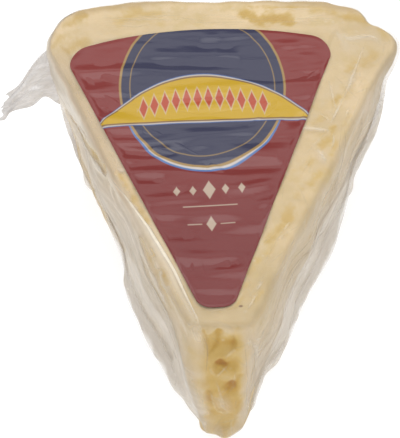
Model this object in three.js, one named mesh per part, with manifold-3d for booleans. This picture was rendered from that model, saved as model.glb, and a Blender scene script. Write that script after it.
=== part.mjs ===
// A wedge of hard cheese sealed in clear shrunk film, lying flat with its label up.
//
// Two solids: the sealed pack (cheese and film as one outer form, with the film's torn
// ear at one rind corner) and the paper label that lies on the pack's top face.
// Millimetres, +Z up. The nose of the wedge points to -Y and its rind end to +Y.

import * as THREE from "three";
import Module from "manifold-3d";

// ---------------------------------------------------------------- driving dimensions

const PACK_HEIGHT = 45;

// Plans of the pack at its top and at its base, between which the walls lean. Widths
// are taken at the sharp corners, before rounding. The rind end is bowed: rindRise is how
// far its middle stands past the line that joins the two rind corners, and rindPower says
// how square the bow is, where 2 is a parabola.
const TOP_PLAN = {
  noseY: -49,
  noseWidth: 14,
  noseRadius: 3.6,
  rindY: 48.8,
  rindWidth: 90.4,
  rindRise: 7.9,
  rindPower: 3,
  rindRadius: 8.1,
};
const BASE_PLAN = {
  noseY: -47,
  noseWidth: 9.5,
  noseRadius: 3.9,
  rindY: 44.3,
  rindWidth: 75.2,
  rindRise: 5.6,
  rindPower: 3,
  rindRadius: 6.7,
};
const TOP_EDGE_RADIUS = 2.4;
const BASE_EDGE_RADIUS = 1.8;

// Ripples of the drawn film. On the top face they run across the wedge, bending a little;
// on the walls two sets slant opposite ways. pitch is crest to crest, fade is the width
// of the calm margin along each edge.
const TOP_RIPPLE = { depth: 0.24, fade: 9, pitch: 17, bend: 0.12, bendPitch: 60 };
const TOP_SWELL = { depth: 0.17, pitchX: 38, pitchY: 52 };
const WALL_RIPPLE = { depth: 0.38, fade: 8, pitch: 23, slant: 0.45, phasePitch: 57 };
const WALL_SAG = { depth: 0.38, pitch: 41, slant: -0.8, phasePitch: 94 };

// The bag's seams are folded down along the foot of both walls, and the walls stand out
// there by amounts that change on the way from nose to rind. Rows are y and out.
const FOOT_FOLD = {
  height: 4,
  spreadUp: 7,
  spreadAlong: 7.4,
  left: [[-45, -0.9], [-35, 1.25], [-22, 2.15], [-9, 1.9], [4, -0.25], [17, -0.25], [30, -0.5]],
  right: [[-35, -0.55], [-22, 0.8], [-9, 0.7], [4, 1.9], [17, 0.4], [30, -0.45]],
};

// Where the film stands off the plain leaning faces elsewhere, or is pulled in: a place,
// how far it spreads round the pack and up it, and how far out it stands.
const LOOSE_PLACES = [
  { x: 41, y: 34.3, z: 42, spreadRound: 5.7, spreadUp: 12, out: 2 },
  { x: 37, y: 42.1, z: 45, spreadRound: 3.9, spreadUp: 12, out: -2.1 },
  { x: 22.5, y: 48, z: 45, spreadRound: 14, spreadUp: 30, out: 1.35 },
  { x: -26.5, y: 47, z: 45, spreadRound: 12, spreadUp: 30, out: 1 },
  { x: -41, y: 38, z: 42, spreadRound: 8, spreadUp: 14, out: 0.5 },
  { x: 40, y: 33.4, z: 18, spreadRound: 8, spreadUp: 12, out: 1.8 },
  { x: -38, y: 35.6, z: 14, spreadRound: 8, spreadUp: 12, out: 1.3 },
  { x: 1, y: -47.2, z: 2.2, spreadRound: 1.9, spreadUp: 2.8, out: 1.8 },
];

// Plan of the label, its place on the top face and how far it is turned.
const LABEL_PLAN = {
  noseY: -41.1,
  noseWidth: 7,
  noseRadius: 3.6,
  rindY: 40.7,
  rindWidth: 64.6,
  rindRise: 5.6,
  rindPower: 1.85,
  rindRadius: 4,
};
const LABEL_CENTRE = { x: -2.7, y: -2.8 };
const LABEL_TURN = THREE.MathUtils.degToRad(3.2);
const LABEL_THICKNESS = 0.35;
const LABEL_GAP = 0.3;

// The ear: the bag's spare corner, flat, drooping, and torn off in teeth at its end.
const EAR = {
  root: new THREE.Vector3(-37.6, 34.2, 33.6),
  reach: 17,
  sweep: 0.42,
  droop: 5.4,
  rootHalf: 8.8,
  tipHalf: 4.6,
  rootThickness: 1.3,
  tipThickness: 0.6,
  crumple: { depth: 0.8, across: 0.49, along: 0.67 },
  toothCount: 3.5,
  toothDepth: 1.2,
  tearSlant: 2.6,
};

// How finely each stretch is cut into facets.
const PLAN_STEPS = { nose: 5, noseCorner: 4, wall: 27, rindCorner: 6, rind: 25 };
const LABEL_STEPS = { nose: 3, noseCorner: 7, wall: 17, rindCorner: 6, rind: 15 };
const BASE_RINGS = [0.35, 0.7];
const WALL_ROWS = 9;
const EDGE_ROWS = 3;
const TOP_RINGS = 10;
const LABEL_RINGS = 9;
const EAR_ROWS = 13;
const EAR_LOOP = 26;

// --------------------------------------------------------------------- small helpers

const TURN = 2 * Math.PI;

function smoothRise(value) {
  const t = THREE.MathUtils.clamp(value, 0, 1);
  return t * t * (3 - 2 * t);
}

function bell(distance, spread) {
  return Math.exp(-((distance / spread) ** 2));
}

// A closed mesh from a pole, rings that all have the same count of points, and a
// second pole. The rings run anticlockwise seen from the second pole.
function closedRings(firstPole, rings, lastPole) {
  const count = rings[0].length;
  const points = [firstPole, ...rings.flat(), lastPole];
  const last = points.length - 1;
  const faces = [];
  for (let i = 0; i < count; i += 1) {
    const next = (i + 1) % count;
    faces.push(0, 1 + next, 1 + i);
    for (let row = 0; row < rings.length - 1; row += 1) {
      const low = 1 + row * count;
      const high = low + count;
      faces.push(low + i, low + next, high + next);
      faces.push(low + i, high + next, high + i);
    }
    const top = 1 + (rings.length - 1) * count;
    faces.push(top + i, top + next, last);
  }
  const geometry = new THREE.BufferGeometry();
  const places = points.flatMap((p) => [p.x, p.y, p.z]);
  geometry.setAttribute("position", new THREE.Float32BufferAttribute(places, 3));
  geometry.setIndex(faces);
  return geometry;
}

// ------------------------------------------------------------- plan of a blunt wedge

// Points and outward normals round a blunt wedge with rounded corners and a bowed rind
// end, anticlockwise from above. Plans with the same steps match point for point.
function wedgePlan(plan, steps) {
  const half = { nose: plan.noseWidth / 2, rind: plan.rindWidth / 2 };
  const cornerY = plan.rindY - plan.rindRise;
  const corners = [
    { at: [-half.nose, plan.noseY], radius: plan.noseRadius, steps: steps.noseCorner },
    { at: [half.nose, plan.noseY], radius: plan.noseRadius, steps: steps.noseCorner },
    { at: [half.rind, cornerY], radius: plan.rindRadius, steps: steps.rindCorner },
    { at: [-half.rind, cornerY], radius: plan.rindRadius, steps: steps.rindCorner },
  ];
  const edgeSteps = [steps.nose, steps.wall, steps.rind, steps.wall];
  const arcs = corners.map((corner, i) => {
    const here = new THREE.Vector2(...corner.at);
    const before = new THREE.Vector2(...corners[(i + 3) % 4].at).sub(here).normalize();
    const after = new THREE.Vector2(...corners[(i + 1) % 4].at).sub(here).normalize();
    const opening = Math.acos(before.dot(after));
    const inward = before.clone().add(after).normalize();
    const centre = here.addScaledVector(inward, corner.radius / Math.sin(opening / 2));
    const middle = inward.negate().angle();
    const sweep = Math.PI - opening;
    return { centre, middle, sweep, radius: corner.radius, steps: corner.steps };
  });
  const points = [];
  arcs.forEach((arc, i) => {
    for (let k = 0; k <= arc.steps; k += 1) {
      const angle = arc.middle + arc.sweep * (k / arc.steps - 0.5);
      const x = arc.centre.x + arc.radius * Math.cos(angle);
      const y = arc.centre.y + arc.radius * Math.sin(angle);
      points.push(new THREE.Vector2(x, y));
    }
    const next = arcs[(i + 1) % 4];
    const startAngle = next.middle - next.sweep / 2;
    const start = points[points.length - 1];
    const end = new THREE.Vector2(
      next.centre.x + next.radius * Math.cos(startAngle),
      next.centre.y + next.radius * Math.sin(startAngle),
    );
    for (let k = 1; k < edgeSteps[i]; k += 1) {
      points.push(start.clone().lerp(end, k / edgeSteps[i]));
    }
  });
  // The rind end bows outward, fading in round the two rind corners.
  const bowStart = cornerY - plan.rindRadius;
  points.forEach((p) => {
    const share = smoothRise((p.y - bowStart) / plan.rindRadius);
    p.y += plan.rindRise * share * (1 - Math.abs(p.x / half.rind) ** plan.rindPower);
  });
  return points.map((p, i) => {
    const before = points[(i + points.length - 1) % points.length];
    const after = points[(i + 1) % points.length];
    const along = after.clone().sub(before).normalize();
    return { x: p.x, y: p.y, nx: along.y, ny: -along.x };
  });
}

// The plan point that lies a share of the way from one plan's point to another's.
function between(low, high, share) {
  const mix = (key) => THREE.MathUtils.lerp(low[key], high[key], share);
  return { x: mix("x"), y: mix("y"), nx: mix("nx"), ny: mix("ny") };
}

// ----------------------------------------------------------------- the film's surface

// Height of the ripples on the top face: long waves across the wedge, still at its edges.
function topRipple(x, y) {
  const { noseY, noseWidth, rindY, rindWidth } = TOP_PLAN;
  const halfWidth = THREE.MathUtils.mapLinear(y, noseY, rindY, noseWidth, rindWidth) / 2;
  const room = Math.min(halfWidth - Math.abs(x), y - noseY, rindY - y);
  const fade = smoothRise(room / TOP_RIPPLE.fade);
  const bend = TOP_RIPPLE.bend * Math.sin((TURN * x) / TOP_RIPPLE.bendPitch);
  const across = TOP_RIPPLE.depth * Math.sin(TURN * (y / TOP_RIPPLE.pitch + bend + 0.1));
  const slow = Math.sin(TURN * (x / TOP_SWELL.pitchX + y / TOP_SWELL.pitchY + 0.175));
  return fade * (across + TOP_SWELL.depth * slow);
}

// 1 where a plan point faces the nose's way, 0 where it faces sideways or back.
function noseShare(point) {
  return smoothRise((-point.ny - 0.45) / 0.55);
}

function slantedWave(wave, point, z) {
  const along = (point.y + wave.slant * z) / wave.pitch;
  return wave.depth * Math.sin(TURN * (along + point.x / wave.phasePitch));
}

// How far the folded seams push a wall out, at a plan point and height.
function footFold(point, z) {
  const rows = point.x < 0 ? FOOT_FOLD.left : FOOT_FOLD.right;
  const folds = rows.map(([y, out]) => out * bell(point.y - y, FOOT_FOLD.spreadAlong));
  const total = folds.reduce((sum, out) => sum + out, 0);
  return total * bell(z - FOOT_FOLD.height, FOOT_FOLD.spreadUp) * (1 - noseShare(point));
}

// How far a wall stands out from its plain leaning face, at a plan point and height.
function wallSwell(point, z) {
  const room = Math.min(z, PACK_HEIGHT - z);
  const drawn = smoothRise(room / WALL_RIPPLE.fade);
  const waves = slantedWave(WALL_RIPPLE, point, z) + slantedWave(WALL_SAG, point, z);
  const loose = LOOSE_PLACES.map((place) => {
    const away = Math.hypot(point.x - place.x, point.y - place.y);
    return place.out * bell(away, place.spreadRound) * bell(z - place.z, place.spreadUp);
  });
  return loose.reduce((sum, out) => sum + out, drawn * waves + footFold(point, z));
}

// ------------------------------------------------------------------------- the solids

// The profile from the base's middle up the wall to the top's middle, as levels: share
// is 1 at the plan and 0 at the middle, rim is how far an edge's rounding draws it in.
function profileLevels() {
  const levels = BASE_RINGS.map((share) => ({ share, z: 0, rim: BASE_EDGE_RADIUS }));
  for (let k = 0; k < EDGE_ROWS; k += 1) {
    const angle = (Math.PI / 2) * (k / EDGE_ROWS);
    const rim = BASE_EDGE_RADIUS * (1 - Math.sin(angle));
    levels.push({ share: 1, z: BASE_EDGE_RADIUS * (1 - Math.cos(angle)), rim });
  }
  const wallTop = PACK_HEIGHT - TOP_EDGE_RADIUS;
  for (let k = 0; k < WALL_ROWS; k += 1) {
    const z = THREE.MathUtils.lerp(BASE_EDGE_RADIUS, wallTop, k / WALL_ROWS);
    levels.push({ share: 1, z, rim: 0 });
  }
  for (let k = 0; k <= EDGE_ROWS; k += 1) {
    const angle = (Math.PI / 2) * (k / EDGE_ROWS);
    const rim = TOP_EDGE_RADIUS * (1 - Math.cos(angle));
    levels.push({ share: 1, z: wallTop + TOP_EDGE_RADIUS * Math.sin(angle), rim });
  }
  for (let k = 1; k < TOP_RINGS; k += 1) {
    levels.push({ share: 1 - k / TOP_RINGS, z: PACK_HEIGHT, rim: TOP_EDGE_RADIUS });
  }
  return levels;
}

// The wedge as rings: a flat base, a rounded foot, leaning walls, a rounded top edge
// and the rippled top face.
function packBody() {
  const topPlan = wedgePlan(TOP_PLAN, PLAN_STEPS);
  const basePlan = wedgePlan(BASE_PLAN, PLAN_STEPS);
  const rings = profileLevels().map((level) => topPlan.map((above, i) => {
    const p = between(basePlan[i], above, level.z / PACK_HEIGHT);
    const inset = level.rim - wallSwell(p, level.z);
    const x = level.share * (p.x - p.nx * inset);
    const y = level.share * (p.y - p.ny * inset);
    const ripple = level.z < PACK_HEIGHT ? 0 : topRipple(x, y);
    return new THREE.Vector3(x, y, level.z + ripple);
  }));
  const base = new THREE.Vector3(0, 0, 0);
  const crown = new THREE.Vector3(0, 0, PACK_HEIGHT + topRipple(0, 0));
  return closedRings(base, rings, crown);
}

// The ear as a loft of flat oval sections, from inside the pack out to its torn end.
function packEar() {
  const rings = [];
  for (let row = 0; row <= EAR_ROWS; row += 1) {
    const a = row / EAR_ROWS;
    const half = THREE.MathUtils.lerp(EAR.rootHalf, EAR.tipHalf, smoothRise(a));
    const thick = THREE.MathUtils.lerp(EAR.rootThickness, EAR.tipThickness, a) / 2;
    const ring = [];
    for (let k = 0; k < EAR_LOOP; k += 1) {
      const angle = (TURN * k) / EAR_LOOP;
      const b = Math.sin(angle);
      const tooth = EAR.toothDepth * THREE.MathUtils.pingpong(b * EAR.toothCount, 1);
      const slant = (EAR.tearSlant * (b + 1)) / 2;
      const out = EAR.reach * a - (tooth + slant) * a ** 3;
      const turn = TURN * (EAR.crumple.across * b + EAR.crumple.along * a);
      const wave = EAR.crumple.depth * a * Math.sin(turn);
      const x = EAR.root.x - out;
      const y = EAR.root.y - EAR.sweep * out + wave - thick * Math.cos(angle);
      const z = EAR.root.z + half * b - EAR.droop * a * a;
      ring.push(new THREE.Vector3(x, y, z));
    }
    rings.push(ring);
  }
  const middle = (ring) => ring
    .reduce((sum, p) => sum.add(p), new THREE.Vector3())
    .divideScalar(ring.length);
  return closedRings(middle(rings[0]), rings, middle(rings[EAR_ROWS]));
}

// The label: a thin sheet that follows the ripples of the top face under it.
function labelSheet() {
  const plan = wedgePlan(LABEL_PLAN, LABEL_STEPS);
  const cos = Math.cos(LABEL_TURN);
  const sin = Math.sin(LABEL_TURN);
  const place = (p, share, lift) => {
    const x = LABEL_CENTRE.x + share * (p.x * cos - p.y * sin);
    const y = LABEL_CENTRE.y + share * (p.x * sin + p.y * cos);
    return new THREE.Vector3(x, y, PACK_HEIGHT + topRipple(x, y) + lift);
  };
  const under = LABEL_GAP;
  const over = LABEL_GAP + LABEL_THICKNESS;
  const rings = [];
  for (let k = 1; k <= LABEL_RINGS; k += 1) {
    rings.push(plan.map((p) => place(p, k / LABEL_RINGS, under)));
  }
  for (let k = LABEL_RINGS; k >= 1; k -= 1) {
    rings.push(plan.map((p) => place(p, k / LABEL_RINGS, over)));
  }
  const centre = { x: 0, y: 0 };
  return closedRings(place(centre, 0, under), rings, place(centre, 0, over));
}

// ------------------------------------------------------------------- joining the pack

const wasm = await Module();
wasm.setup();

function toSolid(geometry) {
  const mesh = new wasm.Mesh({
    numProp: 3,
    vertProperties: new Float32Array(geometry.getAttribute("position").array),
    triVerts: new Uint32Array(geometry.getIndex().array),
  });
  mesh.merge();
  return new wasm.Manifold(mesh);
}

function toGeometry(solid) {
  const mesh = solid.getMesh();
  const geometry = new THREE.BufferGeometry();
  const places = new THREE.Float32BufferAttribute(mesh.vertProperties, mesh.numProp);
  geometry.setAttribute("position", places);
  geometry.setIndex(new THREE.BufferAttribute(mesh.triVerts, 1));
  return geometry;
}

// ---------------------------------------------------------------------- the two nodes

function named(name, geometry, look) {
  geometry.computeVertexNormals();
  const mesh = new THREE.Mesh(geometry, new THREE.MeshStandardMaterial(look));
  mesh.name = name;
  return mesh;
}

const pack = new THREE.Group();
const sealed = toGeometry(toSolid(packBody()).add(toSolid(packEar())));
pack.add(named("sealed_wedge", sealed, { color: 0xdcc896, roughness: 0.35, metalness: 0 }));
pack.add(named("label", labelSheet(), { color: 0x7a2f33, roughness: 0.4, metalness: 0 }));

// The frame's origin is the middle of the whole pack's footprint, ear included.
const extent = new THREE.Box3().setFromObject(pack);
const middle = extent.getCenter(new THREE.Vector3());
pack.position.set(-middle.x, -middle.y, 0);

export default pack;
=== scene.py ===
# %% [markdown]
# # A wedge of hard cheese in shrunk film
#
# The object is a grocer's pack: a wedge of hard, pale cheese, cut from a wheel, drawn into
# a tight clear bag, with a big rounded label on its top face. This notebook builds what
# the eye sees of it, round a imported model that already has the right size: the cheese, the
# film over it, the bag's seams and torn ear, and the printed label.
#
# Every shape here is a formula on a grid. Lengths are in millimetres until a mesh is made,
# because that is how a cheese is measured; Blender itself works in metres.

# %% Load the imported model
import functools
import math

import bpy
import numpy as np
from mathutils import Matrix, Vector


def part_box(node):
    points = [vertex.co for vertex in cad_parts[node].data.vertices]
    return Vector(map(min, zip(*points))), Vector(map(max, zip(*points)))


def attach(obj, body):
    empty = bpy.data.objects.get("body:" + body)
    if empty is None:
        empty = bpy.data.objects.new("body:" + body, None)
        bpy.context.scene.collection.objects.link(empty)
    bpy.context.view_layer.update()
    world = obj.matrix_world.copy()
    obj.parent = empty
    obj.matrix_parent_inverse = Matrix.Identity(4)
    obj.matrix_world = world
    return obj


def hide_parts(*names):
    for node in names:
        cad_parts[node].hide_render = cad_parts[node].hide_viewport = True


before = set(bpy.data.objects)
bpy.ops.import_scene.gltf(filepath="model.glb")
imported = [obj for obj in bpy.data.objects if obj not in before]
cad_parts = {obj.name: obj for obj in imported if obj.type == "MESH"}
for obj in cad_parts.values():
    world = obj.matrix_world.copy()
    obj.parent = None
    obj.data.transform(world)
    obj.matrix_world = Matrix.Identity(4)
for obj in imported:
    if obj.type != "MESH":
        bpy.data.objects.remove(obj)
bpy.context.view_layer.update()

MM = 0.001

# %% [markdown]
# ## Small tools for fields
#
# Nothing on a real cheese is straight, so most steps below need a smooth unevenness. A
# sum of plane waves with random directions gives one: it has no seams, it is the same on
# every run because its seed is fixed, and it can be worked out for a hundred thousand
# points at once.

# %% Smooth steps, bells and unevenness
TURN = 2 * math.pi
SPREADS_TO_ONE = 1.6


def smooth_rise(value, low=0.0, high=1.0):
    """0 below low, 1 above high, and 3t^2 - 2t^3 of the way t between them."""
    t = np.clip((np.asarray(value) - low) / (high - low), 0, 1)
    return t * t * (3 - 2 * t)


def bell(distance, spread):
    """A Gauss curve: 1 at no distance, 0.37 at one spread, nearly 0 at two."""
    return np.exp(-((np.asarray(distance) / spread) ** 2))


def unevenness(points, pitch, seed, waves=28, stretch=(1, 1, 1)):
    """A smooth field, mostly between -1 and 1: the sum of plane waves in random directions,
    whose lengths lie round the pitch, over 1.6 times its usual spread. stretch lengthens
    the waves along x, y or z."""
    random = np.random.default_rng(seed)
    heading = random.normal(size=(waves, 3))
    heading /= np.linalg.norm(heading, axis=1)[:, None]
    length = pitch * random.uniform(0.7, 1.5, waves)
    heading = heading / length[:, None] / np.asarray(stretch)
    phase = random.uniform(0, TURN, waves)
    total = np.sin(points @ heading.T * TURN + phase).sum(axis=-1)
    return total / math.sqrt(waves / 2) / SPREADS_TO_ONE


trial = unevenness(np.random.default_rng(1).uniform(0, 90, (4000, 3)), 12, seed=2)
print("unevenness spans", trial.min().round(2), "to", trial.max().round(2))

# %% [markdown]
# ## The pack's outer form
#
# The bag is drawn so tight that its form is the wedge's: a blunt triangle with a bowed
# rind end, whose walls lean in a little towards the base. It is a loft between two plans.
# A plan is a run of straight stretches and corner arcs, and because both plans are cut
# into the same number of steps, a point of one belongs to a point of the other. These are
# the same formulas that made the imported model, on a much finer grid, so that new pieces
# fit it without any measuring.

# %% The two plans
PACK_HEIGHT = 45.0
TOP_PLAN = dict(nose_y=-49, nose_width=14, nose_radius=3.6,
                rind_y=48.8, rind_width=90.4, rind_rise=7.9, rind_power=3, rind_radius=8.1)
BASE_PLAN = dict(nose_y=-47, nose_width=9.5, nose_radius=3.9,
                 rind_y=44.3, rind_width=75.2, rind_rise=5.6, rind_power=3, rind_radius=6.7)
FINE_STEPS = dict(nose=26, nose_corner=12, wall=184, rind_corner=26, rind=140)


def wedge_plan(plan, steps):
    """Points and outward normals, as rows of x, y, nx, ny, anticlockwise round a blunt
    wedge. Each corner is an arc that touches both its edges, with straight points
    between arcs; then the rind end is bowed by rise times 1 - x^power."""
    corner_y = plan["rind_y"] - plan["rind_rise"]
    nose, rind = plan["nose_width"] / 2, plan["rind_width"] / 2
    corners = np.array([[-nose, plan["nose_y"]], [nose, plan["nose_y"]],
                        [rind, corner_y], [-rind, corner_y]])
    radii = [plan["nose_radius"]] * 2 + [plan["rind_radius"]] * 2
    arc_steps = [steps["nose_corner"]] * 2 + [steps["rind_corner"]] * 2
    edge_steps = [steps["nose"], steps["wall"], steps["rind"], steps["wall"]]
    arcs = []
    for i in range(4):
        to_before = corners[i - 1] - corners[i]
        to_after = corners[(i + 1) % 4] - corners[i]
        to_before = to_before / np.linalg.norm(to_before)
        to_after = to_after / np.linalg.norm(to_after)
        opening = math.acos(to_before @ to_after)
        inward = to_before + to_after
        inward = inward / np.linalg.norm(inward)
        centre = corners[i] + inward * radii[i] / math.sin(opening / 2)
        middle = math.atan2(-inward[1], -inward[0])
        angle = middle + (math.pi - opening) * (np.linspace(0, 1, arc_steps[i] + 1) - 0.5)
        ring = np.stack([np.cos(angle), np.sin(angle)], axis=1)
        arcs.append(centre + radii[i] * ring)
    runs = []
    for i in range(4):
        share = np.arange(1, edge_steps[i])[:, None] / edge_steps[i]
        runs += [arcs[i], arcs[i][-1] * (1 - share) + arcs[(i + 1) % 4][0] * share]
    points = np.concatenate(runs)
    bowed = smooth_rise((points[:, 1] - corner_y + plan["rind_radius"]) / plan["rind_radius"])
    points[:, 1] += plan["rind_rise"] * bowed * (1 - np.abs(points[:, 0] / rind) ** plan["rind_power"])
    along = np.roll(points, -1, axis=0) - np.roll(points, 1, axis=0)
    along /= np.linalg.norm(along, axis=1)[:, None]
    return np.column_stack([points, along[:, 1], -along[:, 0]])


top_plan = wedge_plan(TOP_PLAN, FINE_STEPS)
base_plan = wedge_plan(BASE_PLAN, FINE_STEPS)
print("points round the pack:", len(top_plan), " widest:", round(np.ptp(top_plan[:, 0]), 1), "mm")

# %% [markdown]
# The film isn't a smooth skin. It ripples between the points where it grips, and it
# gathers where the seams were folded down along the foot of the walls. It stands loose at
# one shoulder, with a notch beside it, and puckers under the nose. Each of these is one
# term of a sum.

# %% Sizes of the ripples and gathers
TOP_RIPPLE = dict(depth=0.24, fade=9, pitch=17, bend=0.12, bend_pitch=60, phase=0.1)
TOP_SWELL = dict(depth=0.17, pitch_x=38, pitch_y=52, phase=0.175)
WALL_RIPPLE = dict(depth=0.38, pitch=23, slant=0.45, phase_pitch=57)
WALL_SAG = dict(depth=0.38, pitch=41, slant=-0.8, phase_pitch=94)
WALL_FADE = 8
FOOT_FOLD = dict(
    # Rows of y and out.
    height=4, spread_up=7, spread_along=7.4,
    left=((-45, -0.9), (-35, 1.25), (-22, 2.15), (-9, 1.9), (4, -0.25), (17, -0.25), (30, -0.5)),
    right=((-35, -0.55), (-22, 0.8), (-9, 0.7), (4, 1.9), (17, 0.4), (30, -0.45)),
)
LOOSE_PLACES = [
    # x, y, z, spread round, spread up, out; and whether the cheese follows
    (41, 34.3, 42, 5.7, 12, 1.4, True),
    (41, 34.3, 42, 5.7, 12, 0.6, False),
    (37, 42.1, 45, 3.9, 12, -2.1, True),
    (22.5, 48, 45, 14, 30, 1.35, True),
    (-26.5, 47, 45, 12, 30, 1, True),
    (-41, 38, 42, 8, 14, 0.5, True),
    (40, 33.4, 18, 8, 12, 1.8, False),
    (-38, 35.6, 14, 8, 12, 1.3, False),
    (1, -47.2, 2.2, 1.9, 2.8, 1.8, True),
]
print("bells in the walls:", len(FOOT_FOLD["left"]) + len(FOOT_FOLD["right"]), "along the seams and",
      len(LOOSE_PLACES), "at loose places")

# %% Ripple of the top
def top_half_width(y):
    """Half the width of the top face, which grows evenly from the nose to the rind."""
    plan = TOP_PLAN
    share = (y - plan["nose_y"]) / (plan["rind_y"] - plan["nose_y"])
    return (plan["nose_width"] + share * (plan["rind_width"] - plan["nose_width"])) / 2


def facing_nose(ny):
    """1 where a wall faces the way the nose does, 0 on the long walls."""
    return smooth_rise((-ny - 0.45) / 0.55)


def top_ripple(x, y):
    """Height over the flat top: waves across the wedge, bent by a slower wave, plus a slow
    swell, all fading to nothing at the edges."""
    ends = np.minimum(y - TOP_PLAN["nose_y"], TOP_PLAN["rind_y"] - y)
    room = np.minimum(top_half_width(y) - np.abs(x), ends)
    fade = smooth_rise(room / TOP_RIPPLE["fade"])
    bend = TOP_RIPPLE["bend"] * np.sin(TURN * x / TOP_RIPPLE["bend_pitch"])
    across = TOP_RIPPLE["depth"] * np.sin(TURN * (y / TOP_RIPPLE["pitch"] + bend + TOP_RIPPLE["phase"]))
    slow = np.sin(TURN * (x / TOP_SWELL["pitch_x"] + y / TOP_SWELL["pitch_y"] + TOP_SWELL["phase"]))
    return fade * (across + TOP_SWELL["depth"] * slow)


trial = np.linspace(-30, 30, 7)
print("ripple down the middle of the top, mm:", top_ripple(0 * trial, trial).round(2))

# %% Swell of the walls
def slanted_wave(wave, x, y, z):
    """A sine wave along a wall whose crests slant with height."""
    along = (y + wave["slant"] * z) / wave["pitch"]
    return wave["depth"] * np.sin(TURN * (along + x / wave["phase_pitch"]))


def foot_fold(x, y, ny, z):
    """How far the folded seams push a wall out: a sum of bells along each wall's foot, which
    the nose is spared."""
    sums = [sum(out * bell(y - place, FOOT_FOLD["spread_along"]) for place, out in FOOT_FOLD[side])
            for side in ("left", "right")]
    total = np.where(x < 0, *sums)
    return total * bell(z - FOOT_FOLD["height"], FOOT_FOLD["spread_up"]) * (1 - facing_nose(ny))


def wall_swell(x, y, ny, z, film=True):
    """How far a wall stands out from its plain leaning face: two sets of slanted waves, the
    folded seams, and a bell for each loose place. Without film, only what the cheese
    itself follows is counted."""
    drawn = smooth_rise(np.minimum(z, PACK_HEIGHT - z) / WALL_FADE)
    total = drawn * (slanted_wave(WALL_RIPPLE, x, y, z) + slanted_wave(WALL_SAG, x, y, z))
    if film:
        total = total + foot_fold(x, y, ny, z)
    for place_x, place_y, place_z, spread, spread_up, out, follows in LOOSE_PLACES:
        if film or follows:
            away = np.hypot(x - place_x, y - place_y)
            total = total + out * bell(away, spread) * bell(z - place_z, spread_up)
    return total


print("the loose shoulder stands out", wall_swell(41, 34.3, 0, 42).round(1), "mm; the cheese in it,",
      wall_swell(41, 34.3, 0, 42, film=False).round(1), "mm")

# %% [markdown]
# Along the foot of both long walls the film was sealed flat and stands off as a frill, and
# the cheese itself is narrower there. So the skin that follows the cheese is drawn in at
# the foot, and the frill is left to fill the pack's full width.

# %% How far the skin is drawn in at the foot
FOOT_DRAW = {
    -1: dict(depth=3.4, reach=24, nose_y=(-49, -35), rind_y=(-6, 12)),
    1: dict(depth=3.4, reach=24, nose_y=(-45, -15), rind_y=(12, 40)),
}
FOOT_DRAW_POWER = 1.2


def foot_draw(x, y, ny, z):
    """How far a wall's skin moves in: a depth that falls to nothing at the reach, with a
    power of the way left to it, along the stretch of wall that has a frill."""
    drawn = 0
    for side, foot in FOOT_DRAW.items():
        stretch = smooth_rise(y, *foot["nose_y"]) * (1 - smooth_rise(y, *foot["rind_y"]))
        down = np.clip(1 - z / foot["reach"], 0, 1) ** FOOT_DRAW_POWER
        drawn = drawn + np.where(x * side > 0, foot["depth"], 0) * stretch * down
    return drawn * (1 - facing_nose(ny))


print("the left wall's foot is drawn in", foot_draw(-15, -20, 0, 0).round(1), "mm at most")

# %% [markdown]
# The profile runs from the base's middle out to the foot, up the wall, over the top edge
# and in to the top's middle. Its rows are close together where the pack shows most, which
# is on the walls and on the open margin of the top, and wide apart under the label.

# %% Loft the pack
TOP_EDGE, BASE_EDGE = 2.4, 1.8
EDGE_ROWS, WALL_ROWS, MARGIN_ROWS, MIDDLE_ROWS = 6, 61, 38, 11


def profile_rows():
    """Rows of share, z and rim. share is 1 at the plan and 0 at the middle; rim is how far
    an edge's quarter circle draws the row in."""
    quarter = np.linspace(0, math.pi / 2, EDGE_ROWS + 1)[:-1]
    full = np.ones(EDGE_ROWS)
    shares = np.array([0.3, 0.6, 0.85])
    base = np.column_stack([shares, 0 * shares, BASE_EDGE + 0 * shares])
    foot = np.column_stack([full, BASE_EDGE * (1 - np.cos(quarter)),
                            BASE_EDGE * (1 - np.sin(quarter))])
    heights = np.linspace(BASE_EDGE, PACK_HEIGHT - TOP_EDGE, WALL_ROWS + 1)[:-1]
    wall = np.column_stack([np.ones(WALL_ROWS), heights, np.zeros(WALL_ROWS)])
    edge = np.column_stack([full, PACK_HEIGHT - TOP_EDGE * (1 - np.sin(quarter)),
                            TOP_EDGE * (1 - np.cos(quarter))])
    margin, middle = np.linspace(1, 0.5, MARGIN_ROWS), np.linspace(0.47, 0.04, MIDDLE_ROWS)
    inner = np.concatenate([margin, middle])
    face = np.column_stack([inner, PACK_HEIGHT + 0 * inner, TOP_EDGE + 0 * inner])
    return np.concatenate([base, foot, wall, edge, face])


def loft_pack(film):
    """The surface as an array of rows, points and x, y, z: at each height the plan lies
    between the base's and the top's, then moves in by the rim and out by the swell. With
    film it is the pack's; without, it is the cheese's, which is drawn in at the foot."""
    share, height, rim = (column[:, None] for column in profile_rows().T)
    mix = height / PACK_HEIGHT
    x, y, nx, ny = (base_plan[:, k] * (1 - mix) + top_plan[:, k] * mix for k in range(4))
    inset = rim - wall_swell(x, y, ny, height, film)
    if not film:
        inset = inset + foot_draw(x, y, ny, height)
    x = share * (x - nx * inset)
    y = share * (y - ny * inset)
    ripple = np.where(height < PACK_HEIGHT, 0, top_ripple(x, y))
    return np.stack([x, y, height + ripple], axis=2)


def outward(grid):
    """Unit normals of a grid that closes round its second axis: the cross product of its
    two neighbour differences."""
    around = np.roll(grid, -1, axis=1) - np.roll(grid, 1, axis=1)
    up = np.gradient(grid, axis=0)
    normal = np.cross(around, up)
    return normal / np.maximum(np.linalg.norm(normal, axis=2), 1e-9)[..., None]


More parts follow.
